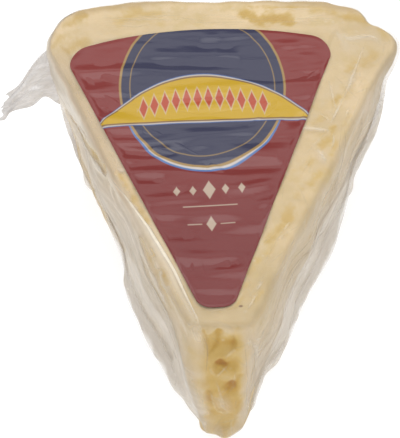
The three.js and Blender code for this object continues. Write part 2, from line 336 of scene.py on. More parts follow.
pack = loft_pack(film=True)
pack_normal = outward(pack)
skin = loft_pack(film=False)
high = np.array(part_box("sealed_wedge")[1]) / MM
low = np.array(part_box("sealed_wedge")[0]) / MM
to_frame = np.array([high[0] - pack[..., 0].max(), low[1] - pack[..., 1].min(), 0])
print("pack grid:", pack.shape, " moved into the frame by", to_frame.round(2), "mm")

# %% [markdown]
# A pull in the film runs along the walls and round the corners, never straight through
# the pack. Patterns that follow it need a measure that runs with the surface, so each
# point also keeps its lie: the way round the pack, wrapped on a cylinder so that it has no
# seam, squeezed to draw its streaks out, and the way up the profile.

# %% Lie of the film
LIE_SQUEEZE = 0.2


def film_lie():
    """The way round becomes an angle on a cylinder of the same girth, times the squeeze;
    the way up is the height, going on inward over the top and under the base."""
    share, height, _ = (column[:, None] for column in profile_rows().T)
    spans = np.linalg.norm(np.diff(top_plan[:, :2], axis=0, append=top_plan[:1, :2]), axis=1)
    way = np.cumsum(spans) - spans[0]
    angle = way / spans.sum() * TURN
    radius = spans.sum() / TURN * LIE_SQUEEZE
    inward = (1 - share) * PACK_HEIGHT
    up = np.where(height > PACK_HEIGHT / 2, height + inward, height - inward)
    up = up + 0 * angle[None]
    return np.stack([radius * np.cos(angle) + 0 * up, radius * np.sin(angle) + 0 * up, up], axis=2)


lie = film_lie()
print("girth:", round(float(np.linalg.norm(np.diff(top_plan[:, :2], axis=0), axis=1).sum())), "mm")

# %% [markdown]
# ## From a grid to a mesh
#
# Two helpers make every piece. One closes a stack of rings with a pole at each end, which
# suits the cheese, the film and the label. The other gives an open sheet a thickness and
# a rim, which suits seams and the ear. Both put the arrays straight into the mesh and can
# carry a number for each point, such as how milky the film is there, for the materials.

# %% A piece from points and faces
def mesh_piece(name, points, faces, marks=None):
    """Makes an object from points in millimetres and faces of three or four corners, and
    stores each mark, one number or one vector for each point, as an attribute."""
    mesh = bpy.data.meshes.new(name)
    mesh.from_pydata((points + to_frame) * MM, [], faces)
    for label, values in (marks or {}).items():
        kind, key = ("FLOAT", "value") if values.ndim == 1 else ("FLOAT_VECTOR", "vector")
        attribute = mesh.attributes.new(label, kind, "POINT")
        attribute.data.foreach_set(key, np.ascontiguousarray(values, np.float32).ravel())
    mesh.shade_smooth()
    piece = bpy.data.objects.new(name, mesh)
    bpy.context.collection.objects.link(piece)
    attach(piece, "root")
    print(f"{name}: {len(points)} points, {len(faces)} faces")
    return piece


# %% Ring pieces
def ring_faces(rows, count, start=0):
    """Faces of rings stacked upward between a first pole and a last pole, numbered on from
    the start."""
    i = start + np.arange(count)
    after = start + (np.arange(count) + 1) % count
    low_row = 1 + count * np.arange(rows - 1)[:, None]
    quads = np.stack([low_row + i, low_row + after, low_row + count + after,
                      low_row + count + i], axis=2).reshape(-1, 4)
    first = np.stack([0 * i + start, 1 + after, 1 + i], axis=1)
    top = 1 + (rows - 1) * count
    last = np.stack([top + i, top + after, 0 * i + start + top + count], axis=1)
    return first.tolist() + quads.tolist() + last.tolist()


def ring_piece(name, grid, marks=None):
    """A closed piece from rings, each end closed at the middle of its ring."""
    poles = grid[0].mean(axis=0), grid[-1].mean(axis=0)
    points = np.concatenate([poles[:1], grid.reshape(-1, 3), poles[1:]])
    full = {}
    for label, values in (marks or {}).items():
        flat = values.reshape(*grid.shape[:2], -1)
        ends = flat[0].mean(axis=0)[None], flat[-1].mean(axis=0)[None]
        full[label] = np.concatenate([ends[0], flat.reshape(-1, flat.shape[2]), ends[1]]).squeeze()
    return mesh_piece(name, points, ring_faces(*grid.shape[:2]), full)


print("faces of two rings of four points:", len(ring_faces(2, 4)))

# %% Sheet pieces
def sheet_piece(name, grid, thickness, marks=None):
    """A closed sheet: the grid moved half the thickness to each side, joined by a rim."""
    rows, columns = grid.shape[:2]
    normal = np.cross(np.gradient(grid, axis=1), np.gradient(grid, axis=0))
    normal /= np.maximum(np.linalg.norm(normal, axis=2), 1e-9)[..., None]
    front = (grid + normal * thickness / 2).reshape(-1, 3)
    back = (grid - normal * thickness / 2).reshape(-1, 3)
    at = np.arange(rows * columns).reshape(rows, columns)
    cell = np.stack([at[:-1, :-1], at[:-1, 1:], at[1:, 1:], at[1:, :-1]], axis=2).reshape(-1, 4)
    rim = np.concatenate([at[0, :-1], at[:-1, -1], at[-1, :0:-1], at[:0:-1, 0]])
    after = np.roll(rim, -1)
    count = rows * columns
    side = np.stack([rim, rim + count, after + count, after], axis=1)
    faces = np.concatenate([cell, cell[:, ::-1] + count, side]).tolist()
    both = {label: np.concatenate([values.reshape(rows * columns, -1)] * 2).squeeze()
            for label, values in (marks or {}).items()}
    return mesh_piece(name, np.concatenate([front, back]), faces, both)


# %% [markdown]
# ## Shader maths in plain Python
#
# A material is a sum of small decisions: more gold where the cheese dips, less clear where
# the film is creased. Written as nodes that is a tangle, so a Wire wraps one socket and
# turns `a * 2 + b` into Math nodes. A Recipe holds one material's nodes and adds any other
# node from its type, its settings and its inputs.

# %% Wires
class Wire:
    """One output socket, which can be used in sums with numbers and other wires."""

    def __init__(self, recipe, socket):
        self.recipe = recipe
        self.socket = socket

    def maths(self, operation, *values):
        inputs = dict(enumerate(values))
        return self.recipe.node("ShaderNodeMath", {"operation": operation}, inputs)

    def __add__(self, other):
        return self.maths("ADD", self, other)

    def __sub__(self, other):
        return self.maths("SUBTRACT", self, other)

    def __rsub__(self, other):
        return self.maths("SUBTRACT", other, self)

    def __mul__(self, other):
        return self.maths("MULTIPLY", self, other)

    def __truediv__(self, other):
        return self.maths("DIVIDE", self, other)

    def __pow__(self, other):
        return self.maths("POWER", self, other)

    __radd__ = __add__
    __rmul__ = __mul__

    def size(self):
        return self.maths("ABSOLUTE", self)

    def least(self, other):
        return self.maths("MINIMUM", self, other)

    def most(self, other):
        return self.maths("MAXIMUM", self, other)

    def rise(self, low, high):
        """0 below low, 1 above high, smooth between."""
        inputs = {"Value": self, "From Min": low, "From Max": high}
        settings = {"interpolation_type": "SMOOTHSTEP"}
        return self.recipe.node("ShaderNodeMapRange", settings, inputs)


# %% Recipes
class Recipe:
    """One material and its nodes."""

    def __init__(self, name):
        self.material = bpy.data.materials.new(name)
        self.material.use_nodes = True
        self.tree = self.material.node_tree
        self.tree.nodes.clear()

    def node(self, kind, settings=None, inputs=None, output=0):
        made = self.tree.nodes.new(kind)
        for key, value in (settings or {}).items():
            setattr(made, key, value)
        for key, value in (inputs or {}).items():
            if isinstance(value, Wire):
                self.tree.links.new(value.socket, made.inputs[key])
            else:
                made.inputs[key].default_value = value
        return Wire(self, made.outputs[output]) if made.outputs else None

    def place(self):
        return self.node("ShaderNodeTexCoord", output="Object")

    def mark(self, name, output="Fac"):
        return self.node("ShaderNodeAttribute", {"attribute_name": name}, output=output)

    def part(self, vector, axis):
        return self.node("ShaderNodeSeparateXYZ", None, {0: vector}, output=axis)

    def noise(self, vector, scale, detail=3.0, roughness=0.5):
        inputs = {"Vector": vector, "Scale": scale, "Detail": detail, "Roughness": roughness}
        return self.node("ShaderNodeTexNoise", None, inputs)

    def stretched(self, vector, factors):
        inputs = {0: vector, 1: factors}
        return self.node("ShaderNodeVectorMath", {"operation": "MULTIPLY"}, inputs)

    def blend(self, share, first, second):
        """A colour between two colours, by a share that is held from 0 to 1."""
        inputs = {"Factor": share, "A": first, "B": second}
        return self.node("ShaderNodeMix", {"data_type": "RGBA"}, inputs, output="Result")

    def paint(self, colour, layers):
        """Lays inks over a colour one after another. A layer is its share and its ink."""
        for share, over in layers:
            colour = self.blend(share, colour, over)
        return colour

    def bump(self, height, distance, strength=1.0):
        inputs = {"Height": height, "Distance": distance, "Strength": strength}
        return self.node("ShaderNodeBump", None, inputs)

    def finish(self, **inputs):
        """Adds the Principled shader from its socket names and plugs it into the output."""
        named = {key.replace("_", " "): value for key, value in inputs.items()}
        shader = self.node("ShaderNodeBsdfPrincipled", None, named)
        self.node("ShaderNodeOutputMaterial", None, {"Surface": shader})
        print(self.material.name, "made of", len(self.tree.nodes), "nodes")
        return self.material


def ink(red, green, blue):
    """A colour for a socket, from its three linear shares."""
    return red, green, blue, 1.0


# %% [markdown]
# ## Places on the pack
#
# Creases and dips have to lie where the packer's hands and the pump left them, so they are
# given as places on a face: across and along the top, along a wall and up it, or across
# the nose and up it. Three small functions turn such a place into a point on the lofted
# form, and two more say how far the pack's points lie from a path through such places.

# %% Places on the top, a wall and the nose
def on_top(x, y):
    """A point on the top face, across the wedge and along it."""
    return np.array([x, y, PACK_HEIGHT])


def wall_ends(z):
    """Where a wall starts at the nose and ends at the rind, as two pairs of x and y for the
    right wall, at a height between the base plan and the top plan."""
    mix = z / PACK_HEIGHT
    ends = []
    for width, y, rise in (("nose_width", "nose_y", 0), ("rind_width", "rind_y", "rind_rise")):
        pair = [(plan[width] / 2, plan[y] - (plan[rise] if rise else 0))
                for plan in (BASE_PLAN, TOP_PLAN)]
        ends.append([low * (1 - mix) + high * mix for low, high in zip(*pair)])
    return ends


WALL_LENGTH = math.dist(*wall_ends(PACK_HEIGHT))


def on_wall(side, along, z):
    """A point on the left wall, side -1, or the right wall, side 1: along is measured from
    the nose's corner down the top edge, and z is the height."""
    (x0, y0), (x1, y1) = wall_ends(z)
    share = along / WALL_LENGTH
    return np.array([side * (x0 + (x1 - x0) * share), y0 + (y1 - y0) * share, z])


def on_nose(x, z):
    """A point on the nose's face, across it and up it."""
    return np.array([x, wall_ends(z)[0][1], z])


def along_wall(points):
    """How far along its wall each point lies, in the measure that on_wall takes."""
    (_, y0), (_, y1) = wall_ends(np.clip(points[:, 2], 0, PACK_HEIGHT))
    return (points[:, 1] - y0) / (y1 - y0) * WALL_LENGTH


print("walls are", round(WALL_LENGTH, 1), "mm long; the nose's foot is at", on_nose(0, 0).round(1))

# %% Distance from a path
def path_distance(points, path):
    """Distance from each point to a path of straight stretches, and the share of the way
    along the path where it comes nearest."""
    path = np.asarray(path)
    spans = np.linalg.norm(np.diff(path, axis=0), axis=1)
    starts = np.concatenate([[0], np.cumsum(spans)])
    nearest = np.full(len(points), np.inf)
    share = np.zeros(len(points))
    for k, span in enumerate(spans):
        heading = (path[k + 1] - path[k]) / span
        t = np.clip((points - path[k]) @ heading, 0, span)
        away = np.linalg.norm(points - path[k] - t[:, None] * heading, axis=1)
        closer = away < nearest
        nearest[closer] = away[closer]
        share[closer] = (starts[k] + t[closer]) / starts[-1]
    return nearest, share


def near_path(points, path, reach):
    """Which points lie in the path's box, widened by the reach."""
    path = np.asarray(path)
    return np.flatnonzero(np.all((points > path.min(axis=0) - reach)
                                 & (points < path.max(axis=0) + reach), axis=1))


away, share = path_distance(np.array([[1.0, 3.0]]), [(0, 0), (4, 0)])
print("a place beside a path is", away[0], "away, at", share[0], "of the way along it")

# %% [markdown]
# Cheese and film behave differently under the label: it presses the film flat there, and
# both lie a little lower, to leave room for the label's furrows. So its place on the pack
# is needed now. Each point also keeps how far it faces up, to a side, to the nose or to
# the rind, because most finishes change from face to face.

# %% Place of the label, and which way each point faces
LABEL_CENTRE = np.array([-2.7, -2.8])
LABEL_TURN = math.radians(3.2)
LABEL_SIDES = dict(nose_y=-41, nose_half=3.5, rind_y=40.7, widening=0.381)
PRESSED_ROOM, LOWERED_ROOM = (-1.6, 0.2), (0.8, 2.6)


def under_label(points):
    """Two shares, 0 outside the label and 1 inside it: one for what its whole area presses,
    which starts outside the rim, and one for what lies lower, which starts inside. Both
    rise with the room to the nearest straight side, in the label's own turned measures."""
    away = points[:, :2] - LABEL_CENTRE
    own_x = away[:, 0] * math.cos(LABEL_TURN) + away[:, 1] * math.sin(LABEL_TURN)
    own_y = away[:, 1] * math.cos(LABEL_TURN) - away[:, 0] * math.sin(LABEL_TURN)
    up_label = own_y - LABEL_SIDES["nose_y"]
    half = LABEL_SIDES["nose_half"] + up_label * LABEL_SIDES["widening"]
    room = np.minimum(half - np.abs(own_x), np.minimum(up_label, LABEL_SIDES["rind_y"] - own_y))
    return smooth_rise(room, *PRESSED_ROOM), smooth_rise(room, *LOWERED_ROOM)


spots = pack.reshape(-1, 3)
nx, ny, nz = pack_normal.reshape(-1, 3).T
UP, NOSE, RIND = smooth_rise(nz, 0.25, 0.8), smooth_rise(-ny, 0.5, 0.9), smooth_rise(ny, 0.6, 0.9)
LEFT, RIGHT = smooth_rise(-nx, 0.3, 0.75), smooth_rise(nx, 0.3, 0.75)
covered, well_covered = (share * UP for share in under_label(spots))
print("points that the label presses:", int((covered > 0.5).sum()), "of", len(spots))

# %% [markdown]
# ## The cheese
#
# A grating cheese doesn't cut cleanly: the knife splits it, so its faces are broad shallow
# hollows with crumbly edges, and here and there a deeper tear. Where the wet film clings
# into a tear the paste looks golden instead of cream. The tears are blots: short paths
# with a width, whose distance is made ragged by unevenness, and whose strength says how
# deep and how golden they are. The nose is torn most: besides its tears it has scoops,
# which are bowls with an oval rim, where whole crumbs came away with the knife's point.

# %% Listed tears
def tops(*places):
    return [on_top(x, y) for x, y in places]


def noses(*places):
    return [on_nose(x, z) for x, z in places]


def walls(side, *places):
    return [on_wall(side, along, z) for along, z in places]


TEARS = [
    # path, half width, strength
    (tops((-35.6, 40.6), (-33.4, 43.2)), 1.7, 0.95),
    (tops((-24.4, 40.6), (-19.5, 44.4)), 2.0, 0.8),
    (tops((-19.5, 43.8), (-14.5, 43.4)), 1.2, 0.75),
    (tops((-36.0, 32.2), (-31.5, 35.0)), 1.9, 0.85),
    (tops((-39.0, 33.5), (-37.8, 36.2)), 1.2, 0.75),
    (tops((6.4, 43.4), (9.6, 41.6)), 1.9, 1.25),
    (tops((11.0, 42.6), (16.6, 41.6)), 2.0, 1.6),
    (tops((22.5, 44.4), (27.4, 44.4)), 1.2, 0.7),
    (tops((7.0, 46.0), (17.0, 46.0), (27.0, 45.4)), 0.4, 0.8),
    (tops((30.6, 42.4), (33.2, 42.4), (35.4, 39.8)), 1.6, 0.85),
    (tops((38.6, 38.0), (40.0, 35.6)), 1.4, 0.8),
    (tops((36.3, 29.6), (34.2, 26.8)), 1.8, 0.8),
    (tops((31.9, 27.2), (30.4, 24.6)), 1.4, 0.7),
    (tops((30.6, 20.1), (28.8, 16.2)), 1.1, 0.55),
    (tops((27.6, 16.4), (26.6, 15.3)), 0.8, 1.05),
    (tops((29.4, 10.6), (28.6, 8.0)), 0.9, 0.6),
    (tops((23.4, 10.4), (21.6, 9.0)), 1.0, 0.5),
    (tops((25.8, 7.4), (25.4, 4.8)), 0.9, 0.85),
    (tops((24.4, 3.4), (22.9, 1.4)), 1.3, 0.85),
    (tops((26.6, 2.4), (25.2, -1.2)), 0.9, 0.75),
    (tops((22.4, -6.6), (20.4, -9.6)), 1.2, 0.6),
    (tops((20.6, -2.4), (19.9, -3.8)), 0.9, 0.5),
    (tops((18.2, -11.4), (17.0, -13.6)), 1.1, 0.6),
    (tops((15.8, -17.0), (14.8, -19.4)), 1.4, 1.0),
    (tops((19.7, -17.2), (19.3, -18.6)), 0.9, 0.6),
    (tops((13.6, -21.6), (12.1, -23.6), (10.6, -25.4)), 1.3, 0.95),
    (tops((9.6, -22.4), (8.8, -23.8)), 1.0, 0.5),
    (tops((16.2, -25.6), (15.4, -27.2)), 0.9, 0.5),
    (tops((11.4, -27.4), (10.8, -29.2)), 1.0, 0.6),
    (tops((8.0, -31.2), (6.0, -34.4)), 1.1, 0.65),
    (tops((5.6, -37.2), (4.8, -38.6)), 1.0, 0.6),
    (tops((9.2, -39.6), (7.9, -41.2)), 0.9, 0.7),
    (tops((-8.7, -36.8), (-5.2, -43.2), (-1.2, -45.1), (3.4, -43.6), (5.6, -39.6)), 0.4, 0.6),
    (noses((-0.1, 43.1), (-0.3, 40.7), (-0.5, 37.4), (-1.5, 35.4)), 0.6, 1.6),
    (noses((-3.4, 43.7), (-2.2, 36.6), (-2.5, 32.8)), 0.4, 1.3),
    (noses((2.4, 42.2), (3.2, 39.4), (2.9, 36.8)), 0.6, 0.8),
    (noses((0.2, 30.9), (0.9, 30.1)), 0.95, 4.4),
    (noses((4.4, 25.6), (3.5, 23.6), (2.6, 21.3), (1.5, 18.6)), 1.0, 1.4),
    (noses((-2.8, 19.7), (-2.2, 16.0)), 0.9, 1.4),
    (noses((1.7, 17.7), (3.6, 18.0)), 0.9, 1.2),
    (noses((-2.9, 4.6), (1.6, 3.8)), 1.2, 0.6),
    (walls(-1, (26.0, 42.6), (19.0, 42.6), (11.5, 41.4)), 1.0, 0.85),
    (tops((-16.6, -24.6), (-13.9, -31.0), (-11.4, -37.0)), 0.8, 0.9),
    (walls(-1, (70.5, 34.8), (63.0, 38.0), (54.8, 41.4)), 1.0, 0.9),
    (walls(-1, (87.0, 22.0), (86.0, 10.0), (76.0, 6.0), (62.0, 3.0)), 1.3, 0.6),
    (tops((-22.3, -6.6), (-18.9, -13.9), (-15.8, -20.3)), 0.8, 0.7),
    (walls(1, (47.8, 40.4), (45.6, 38.0)), 1.0, 0.85),
    (walls(1, (34.4, 44.0), (32.0, 42.4)), 1.0, 0.8),
    (walls(1, (56.5, 41.0), (55.0, 38.0)), 0.9, 0.6),
    (walls(1, (64.0, 40.0), (62.4, 37.0)), 1.0, 0.5),
    (walls(1, (24.4, 33.1), (22.0, 30.4)), 0.9, 0.6),
    (walls(1, (94.0, 43.0), (95.5, 38.0)), 1.8, 1.15),
    (walls(1, (8.7, 30.6), (7.6, 27.0)), 0.9, 0.8),
]

# Scoops in the nose: x, z, half width, half height, depth, how golden.
SCOOPS = np.array([
    [0.6, 37.0, 3.7, 7.0, 0.8, 0.22],
    [0.2, 29.6, 1.8, 2.6, 0.7, 0.40],
    [2.9, 30.4, 1.6, 2.6, 0.5, 0.35],
    [2.5, 21.2, 2.1, 3.4, 0.6, 0.50],
    [-2.7, 18.0, 1.1, 3.2, 0.3, 0.30],
    [0.4, 9.0, 2.6, 4.6, 0.3, 0.12],
    [-0.8, 4.3, 3.4, 2.2, 0.3, 0.10],
])
print("laid by hand:", len(TEARS), "tears and", len(SCOOPS), "scoops")

# %% Hollows
HOLLOWS = dict(count=150, smallest=2.2, largest=7.5, depth=0.06)


def hollow_depth(points):
    """Depth of the shallow bowls: each takes depth times its radius at its middle and rises
    to nothing at its radius, and where bowls meet the deeper one wins."""
    random = np.random.default_rng(11)
    centres = spots[random.integers(0, len(spots), HOLLOWS["count"])]
    radii = random.uniform(HOLLOWS["smallest"], HOLLOWS["largest"], HOLLOWS["count"])
    deepest = np.zeros(len(points))
    for centre, radius in zip(centres, radii):
        away = np.linalg.norm(points - centre, axis=1) / radius
        bowl = HOLLOWS["depth"] * radius * np.clip(1 - away * away, 0, None)
        deepest = np.maximum(deepest, bowl)
    return deepest


hollow = hollow_depth(spots)
print("deepest hollow:", hollow.max().round(2), "mm")

# %% Tears
SMALL_TEARS = dict(count=330, run=1.6, half_width=(0.4, 1.2), weakest=0.15,
                   strongest_on_top=0.4, strongest_on_walls=0.6)
TEAR_RAGGED, TEAR_FADE, TEAR_REACH = 0.6, 1.75, 2.2


def scattered_tears():
    """Small tears all over the pack, fainter on the top: short paths that start on the
    surface and run a little way off in any direction."""
    random = np.random.default_rng(17)
    small = SMALL_TEARS
    made = []
    for start in random.integers(0, len(spots), small["count"]):
        flat_top = nz[start] > 0.7
        run = random.normal(0, small["run"], 3)
        strongest = small["strongest_on_top"] if flat_top else small["strongest_on_walls"]
        strength = random.uniform(small["weakest"], strongest)
        made.append(([spots[start], spots[start] + run], random.uniform(*small["half_width"]), strength))
    return made


def tear_field(points, tears):
    """How torn each point is: full strength on the path, falling to nothing well past the
    half width, with the distance made ragged. Where tears meet the stronger one wins."""
    ragged = 0.5 * unevenness(points, 3.0, seed=21) + 0.3 * unevenness(points, 1.2, seed=22)
    total = np.zeros(len(points))
    for path, half_width, strength in tears:
        near = near_path(points, path, TEAR_REACH * half_width)
        away, _ = path_distance(points[near], path)
        away = away + ragged[near] * TEAR_RAGGED * half_width
        part = strength * (1 - smooth_rise(away, 0, TEAR_FADE * half_width))
        total[near] = np.maximum(total[near], part)
    return total


tear = tear_field(spots, TEARS + scattered_tears())
print("torn points:", int((tear > 0.3).sum()), "of", len(spots))

# %% Scoops
def scoop_fields(points):
    """Depth and gold of the nose's scoops. Each is a bowl, 1 - r^2 with r measured to its
    oval rim, made ragged; depths take the deeper bowl, and gold spreads a little past."""
    ragged = 0.16 * unevenness(points, 4, seed=24) + 0.05 * unevenness(points, 1.6, seed=25)
    deep = np.zeros(len(points))
    golden = np.zeros(len(points))
    for x, z, half_width, half_height, depth, gold in SCOOPS:
        r = np.hypot((points[:, 0] - x) / half_width, (points[:, 2] - z) / half_height) + ragged
        deep = np.maximum(deep, depth * np.clip(1 - r * r, 0, None))
        golden = np.maximum(golden, gold * (1 - smooth_rise(r, 0.45, 1.25)))
    return deep * NOSE, golden * NOSE


scoop, scoop_gold = scoop_fields(spots)
print("deepest scoop:", scoop.max().round(2), "mm")

# %% Depth of the cheese below the pack's form
CHEESE_GAP, LEAST_HEIGHT = 0.22, 0.15
SOFT_WAVE, SMALL_WAVE = 0.22, 0.10
DEEPEST_TEAR, TEAR_DEPTH, NOSE_DEPTH = 1.6, 0.25, 0.35
LABEL_ROOM = 0.60

grid_shape = pack.shape[:2]
height = spots[:, 2]
torn_nose = NOSE * (0.3 + 0.4 * np.abs(unevenness(spots, 5.5, seed=23)))
soft = SOFT_WAVE * unevenness(spots, 19, seed=31) + SMALL_WAVE * unevenness(spots, 5.5, seed=32)
soft = soft * (1 - 0.9 * covered)
grounded = 0.25 + 0.75 * smooth_rise(height, 0, 3)
depth = hollow + TEAR_DEPTH * np.minimum(tear, DEEPEST_TEAR) + NOSE_DEPTH * torn_nose + scoop
sunk = (CHEESE_GAP + depth - soft) * grounded + LABEL_ROOM * well_covered
cheese_grid = skin - pack_normal * sunk.reshape(grid_shape)[..., None]
cheese_grid[..., 2] = np.maximum(cheese_grid[..., 2], LEAST_HEIGHT)
print("cheese lies", sunk.min().round(2), "to", sunk.max().round(2), "mm below the skin")

# %% [markdown]
# Two marks go with the cheese. Gold is how golden the paste looks: most in the tears and
# over the nose, where it fades at the top edge, off the middle and towards the foot. Shade
# is a little less light, on the walls, at the nose's top edge and along the top's sides.

# %% Gold and shade of the cheese
NOSE_GOLD = dict(plain=1.34, upper=0.15, uneven=0.22)
GOLD_CROSSING, GOLD_HOLLOW, MOST_GOLD = 0.25, 0.22, 3
SHADE = dict(left=0.12, right=0.12, right_rind=0.14, nose_edge=0.14, top=0.02, top_sides=0.07)


def nose_golden(points):
    """Gold of the nose: a plain share less a little above the middle, uneven, cut down near
    the top edge, to both sides and near the foot, with ragged limits."""
    x, _, z = points.T
    ragged = 1.5 * unevenness(points, 6, seed=27)
    below_edge = 0.2 + 0.8 * smooth_rise(44 - z + ragged, 0, 6)
    off_middle = 0.55 * smooth_rise(np.abs(x - 0.4) + 0.5 * ragged, 3.0, 5.4)
    foot_fade = 0.3 + 0.7 * smooth_rise(z, 2, 13)
    golden = NOSE_GOLD["plain"] - NOSE_GOLD["upper"] * smooth_rise(z, 15, 30)
    golden = golden + NOSE_GOLD["uneven"] * unevenness(points, 5, seed=26)
    return NOSE * golden * (1 - off_middle) * below_edge * foot_fade


nose_gold = nose_golden(spots) + scoop_gold
gold = np.maximum(tear, nose_gold) + GOLD_CROSSING * nose_gold * np.minimum(tear, 1)
gold = np.clip(gold + GOLD_HOLLOW * smooth_rise(hollow, 0.1, 0.45), 0, MOST_GOLD)
off_nose = smooth_rise(along_wall(spots), 40, 85)
near_rind = smooth_rise(along_wall(spots), 66, 86)
shade = SHADE["left"] * LEFT + RIGHT * (SHADE["right"] * off_nose + SHADE["right_rind"] * near_rind)
top_shade = SHADE["top"] + SHADE["top_sides"] * smooth_rise(np.abs(spots[:, 0]), 26, 37)
shade = shade + UP * (top_shade + SHADE["nose_edge"] * smooth_rise(-spots[:, 1], 41, 45))
print("gold up to", gold.max().round(2), "and shade up to", shade.max().round(2))
cheese = ring_piece("cheese", cheese_grid, {
    "gold": gold.reshape(grid_shape),
    "shade": shade.reshape(grid_shape),
})

# %% [markdown]
# The colour is cream, drifting between paler and warmer, with painted light that makes it a little
# brighter towards the rind, and inks laid over it one after another: yellow gold in the tears, in small
# mottles at their edges, then brown gold and a dark pit in the deepest. White specks are the crystals
# that ripen in such cheese, and one dark crumb stuck near the nose. The shade mark lays painted shade on
# it. The rind, at the far end, is a darker straw colour. Where film touches the cheese they shine as
# one, so the cheese carries a thin clear coat, which the film can't lend to the tears.

# %% Finish of the cheese
CHEESE_INKS = dict(
    warm_cream=ink(0.515, 0.380, 0.178), pale_cream=ink(0.770, 0.598, 0.366),
    straw=ink(0.575, 0.425, 0.178), gold=ink(0.580, 0.396, 0.118),
    brown_gold=ink(0.475, 0.272, 0.028), pit=ink(0.35, 0.145, 0.004),
    crystal=ink(0.68, 0.58, 0.42), shade=ink(0.14, 0.10, 0.055),
    rind=ink(0.42, 0.28, 0.11), crumb=ink(0.15, 0.06, 0.015),
)
RIND_LINE = dict(middle=0.0065, bow=3.3, y=0.0472, soft=(-0.0012, 0.0010))
CRUMB = np.array([4.6, -43.4])


def cheese_finish():
    recipe = Recipe("cheese_paste")
    place = recipe.place()
    across, along = recipe.part(place, "X"), recipe.part(place, "Y")
    gold_here = recipe.mark("gold")
    drift = recipe.noise(place, 45, detail=4, roughness=0.6)
    patch = recipe.noise(place, 170, detail=5, roughness=0.62)
    mottle = recipe.noise(place, 430)
    # Paler at random, and painted light that brightens the cream towards the rind.
    paler_and_lit = drift.rise(0.32, 0.68) * 0.6 + along.rise(-0.045, 0.045) * 0.4
    cream = recipe.blend(paler_and_lit, CHEESE_INKS["warm_cream"], CHEESE_INKS["pale_cream"])
    crystals = recipe.node("ShaderNodeTexVoronoi", None, {"Vector": place, "Scale": 420.0})
    off_middle = across - RIND_LINE["middle"]
    past_rind = along + off_middle * off_middle * RIND_LINE["bow"] - RIND_LINE["y"]
    crumb_x, crumb_y = (CRUMB + to_frame[:2]) * MM
    beside, beyond = across - crumb_x, along - crumb_y
    from_crumb = (beside * beside + beyond * beyond * 2) ** 0.5 + (patch - 0.5) * 0.0008
    layers = dict(
        straw=patch.rise(0.48, 0.70) * 0.6,
        gold=(gold_here + (patch - 0.5) * 0.9 + (mottle - 0.5) * 0.7).rise(0.05, 1.12),
        brown_gold=(gold_here + (patch - 0.5) * 0.6).rise(0.55, 2.4),
        pit=gold_here.rise(1.7, 2.7) * 0.9,
        crystal=(1 - crystals.rise(0.10, 0.22)) * patch.rise(0.45, 0.6) * 0.3,
        shade=recipe.mark("shade"),
        rind=past_rind.rise(*RIND_LINE["soft"]) * 0.6,
        crumb=(1 - from_crumb.rise(0.0003, 0.0007)) * 0.8,
    )
    colour = recipe.paint(cream, [(share, CHEESE_INKS[name]) for name, share in layers.items()])
    grain = recipe.noise(place, 900)
    crumble = recipe.noise(place, 300, detail=6, roughness=0.7)
    bumpy = recipe.bump(crumble * 0.7 + grain * 0.3, 0.0005, 0.55)
    wet = 0.3 - gold_here.rise(0.4, 1.8) * 0.27
    return recipe.finish(Base_Color=colour, Roughness=0.55, Normal=bumpy,
                         Coat_Weight=wet, Coat_Roughness=0.3, Specular_IOR_Level=0.3,
                         Subsurface_Weight=0.12, Subsurface_Radius=(0.004, 0.003, 0.0015),
                         Subsurface_Scale=0.6)


cheese.data.materials.append(cheese_finish())

# %% [markdown]
# ## The film
#
# The film is one closed skin just outside the cheese. It follows the cheese's slow swells
# and sinks a little into the hollows, but can't follow the tears. Where there is too much
# of it, it stands up in creases: soft ridges with a milky edge. A crease is a path on the
# pack with a height, a width and a haze, which says how milky it is. Windows are the
# opposite, places where the film is single and clings, so that the cheese shows clearly.

# %% Listed creases and windows
CREASES = [
    # path, height, half width, haze
    (walls(-1, (60, 34.6), (55, 37.6), (50, 41))
     + tops((-21.2, -13.6), (-16.2, -22.6), (-10.4, -34.5), (-5.4, -46.8))
     + noses((-4.4, 42.0), (-3.6, 36)), 0.50, 0.80, 0.42),
    (walls(-1, (90, 27.0), (87.3, 27.8), (78.9, 32.5), (72, 37.6), (65.7, 41.6), (59, 43.4)),
     0.35, 0.6, 0.45),
    (walls(-1, (58.6, 36.0), (53.5, 38.6), (48, 41.6)), 0.30, 0.7, 0.50),
    (walls(-1, (46, 43.4), (47, 38), (46, 32.6)), 0.2, 0.5, 0.35),
    (walls(-1, (27.5, 11.5), (22.8, 10.1)), 0.30, 0.9, 0.6),
    (tops((-22.2, -5.2), (-21.6, -6.2)), 0.15, 0.5, 0.5),
    (walls(-1, (80, 20), (66, 26.5), (54, 30.5), (42, 33.0), (30, 34.5)), 0.30, 1.1, 0.16),
    (tops((17.6, 6.9), (21.0, 6.7), (25.0, 5.6)), 0.22, 0.45, 0.40),
    (tops((21.8, 1.4), (22.8, -1.5), (23.5, -4.5)), 0.2, 0.7, 0.32),
    (tops((28.0, 36.5), (30.4, 34.4), (33.0, 34.8), (36.4, 34.8), (37.4, 33.2)), 0.30, 0.55, 0.32),
    (tops((26.5, 38.0), (28.6, 35.4), (30.0, 31.0)), 0.2, 0.6, 0.20),
    (tops((31.8, 25.8), (30.2, 19.8), (29.2, 17.0)), 0.25, 0.6, 0.28),
    (walls(1, (90, 40), (80, 38), (70, 36), (60, 30.0)), 0.22, 0.8, 0.12),
    (noses((6.1, 40.5)) + walls(1, (1.4, 36.3), (5.9, 27.3), (11.2, 10.6)), 0.35, 0.6, 0.35),
    (noses((-1.2, 26.6), (2.2, 25.8), (5.0, 26.2)), 0.2, 0.7, 0.12),
    (noses((-0.4, 18.8), (0.6, 14.0), (2.2, 9.4)), 0.25, 1.3, 0.34),
    (noses((-0.8, 44.6), (1.4, 44.0), (3.2, 41.8)), 0.2, 0.45, 0.25),
]

